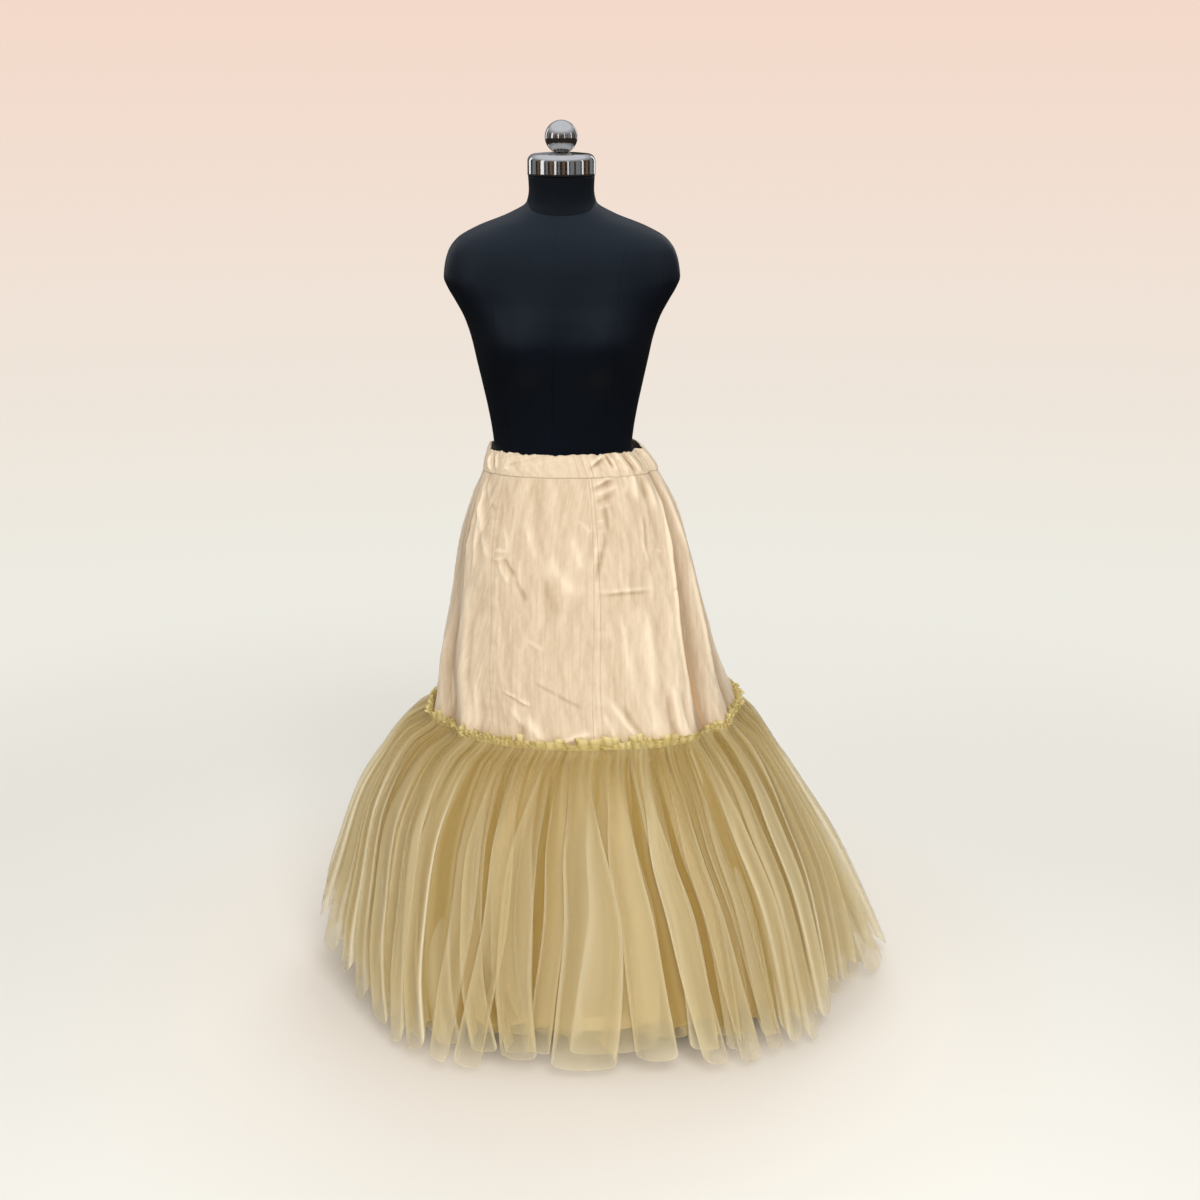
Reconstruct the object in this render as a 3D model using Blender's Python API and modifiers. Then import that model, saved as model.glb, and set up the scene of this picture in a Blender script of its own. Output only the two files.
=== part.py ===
"""Cancan skirt standing on a limbless dress form.

Metres, +Z up, -Y is the front. The origin is on the floor under the form's pole. Left and right are
the viewer's, who looks along +Y: +X is to the right. An angle round the skirt is 0 at the front and
grows towards +X.

The skirt is a drawstring casing, six plain gores, and a gathered flounce of one opaque lining and two
layers of net, whose raw upper edge stands up as a frill above the flounce seam.
"""

import math
from collections import namedtuple

import bpy
import numpy as np

# Heights
SEAM_HEIGHT = 0.5035
CASING_SEAM_HEIGHT = 0.9300
CASING_TOP_HEIGHT = 0.9660
FRONT_LIFT = 0.0060
TORSO_FOOT_HEIGHT = 0.640
NECK_TOP_HEIGHT = 1.4180

# Walls and clearances
GAP = 0.0003
COTTON_WALL = 0.0013
CASING_WALL = 0.0030
LINING_WALL = 0.0012
NET_WALL = 0.0010
SEAM_GAP = 0.0004
CROSS_SEAM_GAP = 0.0007

# Outline of the skirt. Each row is a level ring: its reach to the left, right, front and back of the
# pole, and its squareness, which is 2 for an ellipse and more for a flatter front.
SkirtRing = namedtuple("SkirtRing", "height left right front back squareness")
SKIRT_RINGS = [
    SkirtRing(0.970, 0.1235, 0.1300, 0.0940, 0.0995, 2.3),
    SkirtRing(0.935, 0.1330, 0.1555, 0.1010, 0.1085, 2.3),
    SkirtRing(0.870, 0.1590, 0.1905, 0.1180, 0.1290, 2.3),
    SkirtRing(0.800, 0.1775, 0.2150, 0.1370, 0.1500, 2.3),
    SkirtRing(0.700, 0.1925, 0.2410, 0.1640, 0.1760, 2.3),
    SkirtRing(0.600, 0.2140, 0.2680, 0.1890, 0.2000, 2.25),
    SkirtRing(0.5035, 0.2300, 0.3060, 0.2160, 0.2240, 2.2),
    SkirtRing(0.470, 0.2830, 0.3440, 0.2480, 0.2600, 2.15),
    SkirtRing(0.420, 0.3230, 0.3800, 0.2820, 0.2960, 2.2),
    SkirtRing(0.340, 0.3590, 0.4190, 0.3220, 0.3400, 2.3),
    SkirtRing(0.240, 0.3780, 0.4620, 0.3640, 0.3820, 2.45),
    SkirtRing(0.120, 0.3960, 0.4960, 0.4080, 0.4240, 2.55),
    SkirtRing(0.000, 0.4000, 0.5240, 0.4420, 0.4560, 2.6),
]

# Where the outermost net stands out past that outline: its angle and half width in degrees
# and its reach at the floor, falling evenly to nothing at a height.
Bulge = namedtuple("Bulge", "angle width reach")
BULGES = [Bulge(90.0, 13.0, 0.084), Bulge(-92.0, 15.0, 0.082), Bulge(-31.0, 9.0, 0.022)]
BULGE_TOP_HEIGHT = 0.420

# The seams between the gores, as angles in degrees at the casing and at the flounce, each with the
# gore that starts there.
GoreSeam = namedtuple("GoreSeam", "gore top bottom")
GORE_SEAMS = [
    GoreSeam("gore_front", -45.0, -33.0),
    GoreSeam("gore_front_right", 11.5, 5.5),
    GoreSeam("gore_right", 88.0, 62.0),
    GoreSeam("gore_back_right", 136.0, 122.0),
    GoreSeam("gore_back", 182.0, 186.0),
    GoreSeam("gore_left", 238.0, 250.0),
]
GORE_COLUMNS = 18
GORE_LEVELS = (1.0, 0.95, 0.72, 0.46, 0.20, 0.0)

# The cloth's large folds: where each runs at the casing and at the flounce in degrees, its half width
# there in degrees, and how far it stands out (or, negative, falls in) there in metres.
Fold = namedtuple("Fold", "top bottom top_width bottom_width top_height bottom_height")
FOLDS = [
    Fold(58.0, 38.5, 8.0, 6.5, 0.0020, 0.0075),
    Fold(68.0, 49.0, 7.0, 6.5, -0.0060, -0.0110),
    Fold(79.0, 61.0, 8.0, 6.5, 0.0030, 0.0060),
    Fold(95.0, 75.0, 9.0, 6.5, -0.0020, -0.0070),
    Fold(-74.0, -47.0, 8.0, 6.5, 0.0015, 0.0070),
    Fold(-88.0, -58.0, 8.0, 6.5, -0.0020, -0.0100),
    Fold(-104.0, -72.0, 9.0, 7.5, 0.0020, 0.0060),
    Fold(126.0, 104.0, 8.0, 7.0, 0.0020, 0.0090),
    Fold(146.0, 138.0, 8.0, 7.0, -0.0030, -0.0100),
    Fold(165.0, 160.0, 8.0, 7.0, 0.0015, 0.0080),
    Fold(205.0, 204.0, 8.0, 7.0, -0.0025, -0.0090),
    Fold(225.0, 226.0, 8.0, 7.0, 0.0015, 0.0090),
    Fold(28.0, 24.0, 7.0, 6.0, 0.0, 0.0035),
]
FOLD_FADE_DEPTH = 0.11

# How much the spacing of gathers and of folds varies round the skirt, as a share
UNEVEN_GATHERS = 0.25
UNEVEN_FOLDS = 0.18

# The casing: gathers on its drawstring, closer and deeper towards the right.
CASING_GATHERS = 28
CASING_GATHER_DEPTH = 0.0028
CASING_SEAM_GATHER_DEPTH = 0.0006
CASING_LEVELS = (1.0, 0.5, 0.0)

# The flounce's layers, from the inside out: the number of folds, how far a fold stands out at the hem,
# the room between this layer's middle and the next one's at the hem, its share of the bulges, the hem's
# height, how far the hem rises between folds, the wall and the share of the drop at each row. Each fold
# has so many columns.
Layer = namedtuple("Layer", "name folds points_each swing room bulge hem scallop wall levels")
LEVELS = (0.0, 0.05, 0.18, 0.42, 0.72, 1.0)
INNER_LEVELS = (0.0, 0.06, 0.24, 0.58, 1.0)
LAYERS = [
    Layer("lining_flounce", 16, 6, 0.0075, 0.0220, 0.0, 0.048, 0.004, LINING_WALL, INNER_LEVELS),
    Layer("net_layer_under", 30, 4, 0.0110, 0.0310, 0.3, 0.030, 0.010, NET_WALL, INNER_LEVELS),
    Layer("net_layer_top", 42, 4, 0.0140, 0.0, 1.0, 0.011, 0.012, NET_WALL, LEVELS),
]
LAYER_ROOM_AT_SEAM = 0.0032
GATHER_SHARE_AT_SEAM = 0.30
HEM_LIFT_LEFT = 0.058
HEM_LIFT_ANGLE = -93.0
HEM_LIFT_WIDTH = 22.0
HEM_UNEVEN = 0.014
LEAST_SWING = 0.45

# The raw net edge above the flounce seam
FRILL_RIPPLES = 46
FRILL_HEIGHT = 0.020
FRILL_RIPPLE_DEPTH = 0.0075
FRILL_FOOT_RIPPLE_DEPTH = 0.0016
FRILL_CLEARANCE = 0.0013
FRILL_SEAM_HEIGHT = SEAM_HEIGHT + 0.0005

# Outline of the dress form's torso: half width, reach to the front and back, and squareness.
FormRing = namedtuple("FormRing", "height half_width front back squareness")
FORM_RINGS = [
    FormRing(NECK_TOP_HEIGHT, 0.0545, 0.0530, 0.0560, 2.0),
    FormRing(1.3960, 0.0535, 0.0530, 0.0560, 2.0),
    FormRing(1.3760, 0.0572, 0.0550, 0.0600, 2.0),
    FormRing(1.3580, 0.0860, 0.0630, 0.0680, 2.0),
    FormRing(1.3370, 0.1390, 0.0740, 0.0780, 2.0),
    FormRing(1.3180, 0.1720, 0.0830, 0.0870, 2.05),
    FormRing(1.2980, 0.1870, 0.0900, 0.0930, 2.1),
    FormRing(1.2740, 0.1940, 0.0970, 0.0980, 2.1),
    FormRing(1.2540, 0.1960, 0.1010, 0.1005, 2.1),
    FormRing(1.2380, 0.1900, 0.1040, 0.1020, 2.15),
    FormRing(1.2180, 0.1785, 0.1070, 0.1030, 2.2),
    FormRing(1.1900, 0.1635, 0.1110, 0.1030, 2.25),
    FormRing(1.1560, 0.1520, 0.1130, 0.1015, 2.3),
    FormRing(1.1180, 0.1437, 0.1080, 0.0985, 2.3),
    FormRing(1.0780, 0.1350, 0.0990, 0.0950, 2.25),
    FormRing(1.0360, 0.1263, 0.0915, 0.0910, 2.2),
    FormRing(0.9980, 0.1200, 0.0870, 0.0890, 2.2),
    FormRing(0.9730, 0.1176, 0.0855, 0.0895, 2.2),
    FormRing(0.9500, 0.1263, 0.0885, 0.0960, 2.2),
    FormRing(0.9160, 0.1360, 0.0925, 0.1025, 2.2),
    FormRing(0.8700, 0.1410, 0.0970, 0.1110, 2.2),
    FormRing(0.8200, 0.1520, 0.1020, 0.1210, 2.25),
    FormRing(0.7600, 0.1590, 0.1050, 0.1240, 2.25),
    FormRing(0.7000, 0.1560, 0.1040, 0.1180, 2.25),
    FormRing(0.6600, 0.1500, 0.1000, 0.1100, 2.2),
    FormRing(TORSO_FOOT_HEIGHT, 0.1400, 0.0920, 0.1000, 2.2),
]
FORM_COLUMNS = 36
BUST_HEIGHT = 1.146
BUST_APART = 0.078
BUST_SPREAD_ACROSS = 0.050
BUST_SPREAD_UP = 0.058
BUST_RISE = 0.020

# The chrome fittings and the stand
CAP_RADIUS = 0.0555
CAP_SIDE = 0.0220
CAP_EDGE = 0.0120
CAP_DOME = 0.0025
BALL_RADIUS = 0.0267
BALL_HEIGHT = 1.4785
STEM_RADIUS = 0.0120
POLE_RADIUS = 0.0160
BASE_RADIUS = 0.165
BASE_RIM = 0.010
BASE_DOME = 0.014
ROUND_STEPS = 28
ARC_STEPS = 6


def clear_scene():
    for obj in list(bpy.data.objects):
        bpy.data.objects.remove(obj, do_unlink=True)


def collection_for_parts(name):
    collection = bpy.data.collections.new(name)
    bpy.context.scene.collection.children.link(collection)
    return collection


def material(name, colour, roughness, metallic=0.0):
    made = bpy.data.materials.new(name)
    made.use_nodes = True
    shader = made.node_tree.nodes["Principled BSDF"]
    shader.inputs["Base Color"].default_value = (*colour, 1.0)
    shader.inputs["Roughness"].default_value = roughness
    shader.inputs["Metallic"].default_value = metallic
    return made


def smooth_between(places, values, at):
    """Cubic through the table's points whose slopes at each point never overshoot its neighbours."""
    places = np.asarray(places, float)
    values = np.asarray(values, float)
    order = np.argsort(places)
    places, values = places[order], values[order]
    steps = np.diff(places)
    slopes = np.diff(values) / steps
    tangents = np.concatenate([slopes[:1], np.zeros(len(slopes) - 1), slopes[-1:]])
    same_way = slopes[:-1] * slopes[1:] > 0
    tangents[1:-1][same_way] = 2 / (1 / slopes[:-1][same_way] + 1 / slopes[1:][same_way])
    at = np.clip(at, places[0], places[-1])
    cell = np.clip(np.searchsorted(places, at) - 1, 0, len(steps) - 1)
    share = (at - places[cell]) / steps[cell]
    start, end = values[cell], values[cell + 1]
    rise = steps[cell] * tangents[cell]
    fall = steps[cell] * tangents[cell + 1]
    return (
        start * (2 * share**3 - 3 * share**2 + 1)
        + rise * (share**3 - 2 * share**2 + share)
        + end * (3 * share**2 - 2 * share**3)
        + fall * (share**3 - share**2)
    )


def column(rings, name, height):
    return smooth_between(
        [ring.height for ring in rings], [getattr(ring, name) for ring in rings], height
    )


def section(angle, left, right, front, back, squareness):
    """Points of a level section and its outward direction there. Two halves of unlike depth meet at
    the widest point, and each is a superellipse."""
    across = (left + right) / 2
    middle = (right - left) / 2
    depth = np.where(np.cos(angle) > 0, front, back)
    power = 2 / squareness
    sine = np.sign(np.sin(angle)) * np.abs(np.sin(angle)) ** power
    cosine = np.sign(np.cos(angle)) * np.abs(np.cos(angle)) ** power
    out_x = np.sign(sine) * np.abs(sine) ** (squareness - 1) / across
    out_y = -np.sign(cosine) * np.abs(cosine) ** (squareness - 1) / depth
    length = np.hypot(out_x, out_y)
    return middle + across * sine, -depth * cosine, out_x / length, out_y / length


def turn_between(angle, other):
    """Signed turn from other to angle, between -180 and 180 degrees."""
    return (angle - other + 180.0) % 360.0 - 180.0


def fold_relief(degrees, share):
    """How far the large folds stand out at an angle, share of the way from casing to flounce."""
    relief = np.zeros(np.broadcast(degrees, share).shape)
    for fold in FOLDS:
        centre = fold.top + (fold.bottom - fold.top) * share
        width = fold.top_width + (fold.bottom_width - fold.top_width) * share
        height = fold.top_height + (fold.bottom_height - fold.top_height) * share
        relief += height * np.exp(-((turn_between(degrees, centre) / width) ** 2))
    return relief


def skirt_points(degrees, height, out):
    """Points of the skirt's outline at an angle and height, moved out along its level sections. The
    folds of the gores run on into the flounce and fade there."""
    angle = np.radians(degrees)
    share = np.clip((CASING_SEAM_HEIGHT - height) / (CASING_SEAM_HEIGHT - SEAM_HEIGHT), 0.0, 1.0)
    fade = np.clip(1.0 - (SEAM_HEIGHT - height) / FOLD_FADE_DEPTH, 0.0, 1.0) ** 2
    x, y, out_x, out_y = section(
        angle,
        *(column(SKIRT_RINGS, name, height) for name in ("left", "right", "front", "back", "squareness")),
    )
    out = out + fold_relief(degrees, share) * fade
    above_seam = np.clip((height - SEAM_HEIGHT) / (CASING_SEAM_HEIGHT - SEAM_HEIGHT), 0.0, 1.0)
    lift = FRONT_LIFT * above_seam * (0.5 + 0.5 * np.cos(angle))
    return np.stack([x + out * out_x, y + out * out_y, height + lift], axis=-1)


def grid_object(name, points, around, finish, collection, wall=0.0):
    """A mesh of four-sided faces over a grid of points, rows from the bottom up and columns
    anticlockwise seen from above, as a wall where one is given."""
    rows, columns = points.shape[:2]
    index = np.arange(rows * columns).reshape(rows, columns)
    following = np.roll(index, -1, axis=1) if around else index[:, 1:]
    here = index if around else index[:, :-1]
    faces = np.stack([here[:-1], following[:-1], following[1:], here[1:]], axis=-1).reshape(-1, 4)
    mesh = bpy.data.meshes.new(name)
    mesh.from_pydata(points.reshape(-1, 3).tolist(), [], faces.tolist())
    mesh.materials.append(finish)
    mesh.shade_smooth()
    obj = bpy.data.objects.new(name, mesh)
    collection.objects.link(obj)
    if wall:
        shell = obj.modifiers.new("Wall", "SOLIDIFY")
        shell.thickness = wall
        shell.offset = 0.0
    return obj


def gathered_angles(count, points_each, uneven, phase):
    """Angles in degrees of the columns of count gathers, and each column's place in its gather as a
    turn. The gathers crowd and spread in two slow waves round the skirt, each by the uneven share."""
    fine = np.linspace(0.0, 360.0, 3601)
    turn = np.radians(fine)
    grown = turn + uneven * (np.sin(3 * turn + phase) - np.sin(phase)) / 3
    grown += uneven * (np.sin(7 * turn + 2 * phase) - np.sin(2 * phase)) / 7
    place = np.arange(count * points_each) / points_each
    return np.interp(place, grown * count / (2 * math.pi), fine), place


def casing(finish, collection):
    """The drawstring casing, a loop above the gores whose gathers deepen towards its top."""
    degrees, place = gathered_angles(CASING_GATHERS, 4, UNEVEN_GATHERS, 0.6)
    rows = []
    for level in reversed(CASING_LEVELS):
        foot = CASING_SEAM_HEIGHT + CROSS_SEAM_GAP
        height = foot + (CASING_TOP_HEIGHT - foot) * level
        deep = CASING_SEAM_GATHER_DEPTH + (CASING_GATHER_DEPTH - CASING_SEAM_GATHER_DEPTH) * level
        ripple = deep * np.cos(2 * math.pi * place) * (1.0 + 0.4 * np.sin(np.radians(degrees)))
        rows.append(skirt_points(degrees, np.full_like(degrees, height), ripple))
    return grid_object("waistband", np.array(rows), True, finish, collection, CASING_WALL)


def gores(finish, collection):
    """Six gores from the casing to the flounce, each between two seams, parted by the seam's gap."""
    for place, seam in enumerate(GORE_SEAMS):
        after = GORE_SEAMS[(place + 1) % len(GORE_SEAMS)]
        turn_round = 360.0 if place == len(GORE_SEAMS) - 1 else 0.0
        across = np.linspace(0.0, 1.0, GORE_COLUMNS + 1)
        rows = []
        for share in GORE_LEVELS:
            height = CASING_SEAM_HEIGHT + (SEAM_HEIGHT - CASING_SEAM_HEIGHT) * share
            start = seam.top + (seam.bottom - seam.top) * share
            end = after.top + (after.bottom - after.top) * share + turn_round
            reach = 0.14 + 0.11 * share
            inset = math.degrees(SEAM_GAP / 2 / reach)
            degrees = start + inset + (end - start - 2 * inset) * across
            rows.append(skirt_points(degrees, np.full_like(degrees, height), 0.0))
        grid_object(seam.gore, np.array(rows), False, finish, collection, COTTON_WALL)


def bulge_reach(degrees, height):
    """How far the bulges stand out at an angle and height."""
    low = np.clip(1.0 - height / BULGE_TOP_HEIGHT, 0.0, 1.0)
    reach = np.zeros_like(degrees)
    for bulge in BULGES:
        reach += bulge.reach * np.exp(-((turn_between(degrees, bulge.angle) / bulge.width) ** 2))
    return low * reach


def uneven_along(place, count, least, chance):
    """A share between least and 1 for each fold, running evenly from one fold to the next."""
    shares = chance.uniform(least, 1.0, count)
    return np.interp(place, np.arange(count + 1), np.append(shares, shares[0]))


def hem_height(degrees, layer, place):
    """The hem's height: lifted on the left, lower at the crest of a fold than between folds."""
    lift = HEM_LIFT_LEFT * np.exp(-((turn_between(degrees, HEM_LIFT_ANGLE) / HEM_LIFT_WIDTH) ** 2))
    return layer.hem + lift + layer.scallop * (0.5 - 0.5 * np.cos(2 * math.pi * place))


def flounce(layer, out_at_hem, out_at_seam, phase, finish, collection):
    """One layer of the flounce, gathered at the seam into folds that swing wider towards the hem."""
    degrees, place = gathered_angles(layer.folds, layer.points_each, UNEVEN_FOLDS, phase)
    chance = np.random.default_rng(layer.folds)
    uneven = uneven_along(place, layer.folds, LEAST_SWING, chance)
    hem = hem_height(degrees, layer, place) + HEM_UNEVEN * (1 - uneven_along(place, layer.folds, 0.0, chance))
    top = SEAM_HEIGHT - CROSS_SEAM_GAP
    rows = []
    for share in reversed(layer.levels):
        height = top + (hem - top) * share
        opened = min(share / LEVELS[1], 1.0)
        swing = layer.swing * opened * (GATHER_SHARE_AT_SEAM + (1 - GATHER_SHARE_AT_SEAM) * share)
        out = out_at_seam + (out_at_hem - out_at_seam) * opened * (0.35 + 0.65 * share)
        wave = swing * uneven * np.cos(2 * math.pi * place)
        bulge = layer.bulge * bulge_reach(degrees, height)
        rows.append(skirt_points(degrees, height, out + wave + bulge))
    return grid_object(layer.name, np.array(rows), True, finish, collection, layer.wall)


def flounce_layers(finishes, collection):
    """The outermost layer's folds reach the outline; each layer inside it is further in."""
    out_at_hem = -LAYERS[-1].swing
    out_at_seam = LAYER_ROOM_AT_SEAM * (len(LAYERS) - 1)
    for place in range(len(LAYERS) - 1, -1, -1):
        layer = LAYERS[place]
        out_at_hem -= layer.room
        flounce(layer, out_at_hem, out_at_seam, 0.9 + 1.7 * place, finishes[layer.name], collection)
        out_at_seam -= LAYER_ROOM_AT_SEAM


def heading_frill(finish, collection):
    """The raw upper edge of the net, which ripples outwards above the flounce seam."""
    degrees, place = gathered_angles(FRILL_RIPPLES, 3, UNEVEN_GATHERS, 2.2)
    clear = COTTON_WALL / 2 + NET_WALL / 2 + FRILL_CLEARANCE
    rows = []
    for level in (0.0, 1.0):
        height = FRILL_SEAM_HEIGHT + FRILL_HEIGHT * level
        deep = FRILL_FOOT_RIPPLE_DEPTH + (FRILL_RIPPLE_DEPTH - FRILL_FOOT_RIPPLE_DEPTH) * level
        out = clear + 0.0010 * level + deep * (0.5 - 0.5 * np.cos(2 * math.pi * place))
        rows.append(skirt_points(degrees, np.full_like(degrees, height), out))
    return grid_object("heading_frill", np.array(rows), True, finish, collection, NET_WALL)


def form_torso(finish, collection):
    """The limbless torso: level sections from hip to neck, with a gentle bust, closed by flat ends."""
    degrees = np.arange(FORM_COLUMNS) * 360.0 / FORM_COLUMNS
    angle = np.radians(degrees)
    rows = []
    for ring in reversed(FORM_RINGS):
        x, y, _, _ = section(angle, ring.half_width, ring.half_width, ring.front, ring.back, ring.squareness)
        up = math.exp(-(((ring.height - BUST_HEIGHT) / BUST_SPREAD_UP) ** 2))
        across = np.exp(-(((np.abs(x) - BUST_APART) / BUST_SPREAD_ACROSS) ** 2))
        y = y - BUST_RISE * up * across * np.clip(np.cos(angle), 0.0, 1.0)
        rows.append(np.stack([x, y, np.full_like(x, ring.height)], axis=-1))
    obj = grid_object("form_torso", np.array(rows), True, finish, collection)
    mesh = obj.data
    foot = list(range(FORM_COLUMNS))[::-1]
    neck = [FORM_COLUMNS * (len(FORM_RINGS) - 1) + step for step in range(FORM_COLUMNS)]
    walls = [list(face.vertices) for face in mesh.polygons]
    places = [tuple(vertex.co) for vertex in mesh.vertices]
    mesh.clear_geometry()
    mesh.from_pydata(places, [], walls + [foot, neck])
    mesh.shade_smooth()
    mesh.set_sharp_from_angle(angle=math.radians(50))
    return obj


def arc(centre_x, centre_z, radius, start, end):
    """Points of an arc in the XZ plane, between two angles in degrees from +X."""
    return [
        (centre_x + radius * math.cos(math.radians(turn)), centre_z + radius * math.sin(math.radians(turn)))
        for turn in np.linspace(start, end, ARC_STEPS + 1)
    ]


def turned(name, profile, finish, collection):
    """A profile of (radius, height) points, from the top down its outer side, turned round the pole."""
    mesh = bpy.data.meshes.new(name)
    points = [(radius, 0.0, height) for radius, height in profile]
    mesh.from_pydata(points, [(step, step + 1) for step in range(len(points) - 1)], [])
    mesh.materials.append(finish)
    obj = bpy.data.objects.new(name, mesh)
    collection.objects.link(obj)
    screw = obj.modifiers.new("Turned", "SCREW")
    screw.steps = ROUND_STEPS
    screw.render_steps = ROUND_STEPS
    screw.use_merge_vertices = True
    screw.merge_threshold = 0.0001
    screw.use_smooth_shade = True
    return obj


def neck_cap(finish, collection):
    """A flat-bottomed chrome cap with a rounded edge and a shallow dome."""
    foot = NECK_TOP_HEIGHT + GAP
    shoulder = foot + CAP_SIDE
    profile = [(0.0, shoulder + CAP_EDGE + CAP_DOME)]
    profile += [(CAP_RADIUS * 0.35, shoulder + CAP_EDGE + CAP_DOME * 0.86)]
    profile += [(CAP_RADIUS * 0.68, shoulder + CAP_EDGE + CAP_DOME * 0.42)]
    profile += arc(CAP_RADIUS - CAP_EDGE, shoulder, CAP_EDGE, 75.0, 0.0)
    profile += [(CAP_RADIUS, foot), (0.0, foot)]
    return turned("form_neck_cap", profile, finish, collection)


def finial_ball(finish, collection):
    """A ball on a short stem that stands on the cap's dome."""
    seat = NECK_TOP_HEIGHT + 2 * GAP + CAP_SIDE + CAP_EDGE + CAP_DOME
    neck_angle = -math.degrees(math.acos(STEM_RADIUS / BALL_RADIUS))
    profile = [(0.0, BALL_HEIGHT + BALL_RADIUS)]
    profile += arc(0.0, BALL_HEIGHT, BALL_RADIUS, 75.0, 0.0)
    profile += arc(0.0, BALL_HEIGHT, BALL_RADIUS, 0.0, neck_angle)[1:]
    profile += [(STEM_RADIUS, seat), (0.0, seat)]
    return turned("form_finial_ball", profile, finish, collection)


def stand(finish, collection):
    """A round weighted base with a low dome, and the pole from it to the torso."""
    dome_top = BASE_RIM + BASE_DOME
    profile = [(0.0, dome_top), (BASE_RADIUS * 0.22, dome_top)]
    profile += [(BASE_RADIUS * 0.45, BASE_RIM + BASE_DOME * 0.78)]
    profile += [(BASE_RADIUS * 0.72, BASE_RIM + BASE_DOME * 0.42)]
    profile += [(BASE_RADIUS * 0.95, BASE_RIM + BASE_DOME * 0.06), (BASE_RADIUS, BASE_RIM * 0.7)]
    profile += [(BASE_RADIUS, 0.0), (0.0, 0.0)]
    turned("form_base", profile, finish, collection)
    foot = dome_top + GAP
    top = TORSO_FOOT_HEIGHT - GAP
    pole = [(0.0, top), (POLE_RADIUS, top), (POLE_RADIUS, foot), (0.0, foot)]
    turned("form_pole", pole, finish, collection)


def main():
    clear_scene()
    parts = collection_for_parts("cancan_skirt")
    cotton = material("cotton", (0.76, 0.56, 0.38), 0.62)
    lining = material("lining", (0.62, 0.46, 0.20), 0.75)
    net = material("net", (0.55, 0.43, 0.17), 0.70)
    covering = material("form_covering", (0.012, 0.014, 0.020), 0.38)
    chrome = material("chrome", (0.80, 0.79, 0.76), 0.08, 1.0)
    stand_metal = material("stand_metal", (0.03, 0.03, 0.032), 0.35, 0.6)
    form_torso(covering, parts)
    neck_cap(chrome, parts)
    finial_ball(chrome, parts)
    stand(stand_metal, parts)
    casing(cotton, parts)
    gores(cotton, parts)
    heading_frill(net, parts)
    finishes = {"lining_flounce": lining, "net_layer_under": net, "net_layer_top": net}
    flounce_layers(finishes, parts)


main()
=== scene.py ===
"""Looks of a cancan skirt on a limbless dress form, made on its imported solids.

Metres, +Z up, and the front faces -Y. Left and right are the viewer's, who looks along +Y, so +X is to
the right. An angle round the skirt is 0 at the front and grows towards +X. The tables of rings, folds and
layers are those of the solids, so each piece lies where its solid does, and finer form is added to them.
"""

import math
from collections import namedtuple

import bmesh
import bpy
import numpy as np
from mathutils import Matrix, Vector


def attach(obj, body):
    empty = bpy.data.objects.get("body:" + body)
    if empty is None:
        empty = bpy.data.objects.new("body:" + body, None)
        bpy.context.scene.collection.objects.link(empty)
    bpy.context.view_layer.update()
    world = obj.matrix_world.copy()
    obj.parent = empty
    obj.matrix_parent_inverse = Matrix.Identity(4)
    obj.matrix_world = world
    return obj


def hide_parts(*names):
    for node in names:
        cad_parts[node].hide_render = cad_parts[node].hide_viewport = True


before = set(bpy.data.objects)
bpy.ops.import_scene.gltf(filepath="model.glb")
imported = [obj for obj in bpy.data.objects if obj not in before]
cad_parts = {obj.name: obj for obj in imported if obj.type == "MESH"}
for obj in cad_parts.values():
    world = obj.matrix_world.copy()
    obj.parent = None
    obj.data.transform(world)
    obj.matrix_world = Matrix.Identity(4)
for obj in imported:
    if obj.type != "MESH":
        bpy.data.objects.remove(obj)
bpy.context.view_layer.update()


def table(kind, *rows):
    """Rows of numbers as named tuples of a kind."""
    return [kind(*row) for row in rows]


Crease = namedtuple("Crease", "turn_a height_a turn_b height_b bow width rise")


def crease_table(*rows):
    """Creases from rows whose turns are in degrees and whose other numbers are in millimetres."""
    return [
        Crease(turn_a, height_a / 1000, turn_b, height_b / 1000, *(size / 1000 for size in sizes))
        for turn_a, height_a, turn_b, height_b, *sizes in rows
    ]


# The skirt's heights, as in its solids
SEAM_HEIGHT = 0.5035
CASING_SEAM_HEIGHT = 0.9300
CASING_TOP_HEIGHT = 0.9660
FRONT_LIFT = 0.0060
TORSO_FOOT_HEIGHT = 0.640
NECK_TOP_HEIGHT = 1.4180

# Level rings of the skirt: reach to the left, right, front and back of the pole, and squareness
SkirtRing = namedtuple("SkirtRing", "height left right front back squareness")
SKIRT_RINGS = table(
    SkirtRing,
    (0.970, 0.1235, 0.1300, 0.0940, 0.0995, 2.3),
    (0.935, 0.1330, 0.1555, 0.1010, 0.1085, 2.3),
    (0.870, 0.1590, 0.1905, 0.1180, 0.1290, 2.3),
    (0.800, 0.1775, 0.2150, 0.1370, 0.1500, 2.3),
    (0.700, 0.1925, 0.2410, 0.1640, 0.1760, 2.3),
    (0.600, 0.2140, 0.2680, 0.1890, 0.2000, 2.25),
    (0.5035, 0.2300, 0.3060, 0.2160, 0.2240, 2.2),
    (0.470, 0.2830, 0.3440, 0.2480, 0.2600, 2.15),
    (0.420, 0.3230, 0.3800, 0.2820, 0.2960, 2.2),
    (0.340, 0.3590, 0.4190, 0.3220, 0.3400, 2.3),
    (0.240, 0.3780, 0.4620, 0.3640, 0.3820, 2.45),
    (0.120, 0.3960, 0.4960, 0.4080, 0.4240, 2.55),
    (0.000, 0.4000, 0.5240, 0.4420, 0.4560, 2.6),
)

# Where the outer net stands out past that outline: angle and half width in degrees, reach at the floor
Bulge = namedtuple("Bulge", "angle width reach")
BULGES = [Bulge(90.0, 13.0, 0.084), Bulge(-92.0, 15.0, 0.082), Bulge(-31.0, 9.0, 0.022)]
BULGE_TOP_HEIGHT = 0.420

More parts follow.
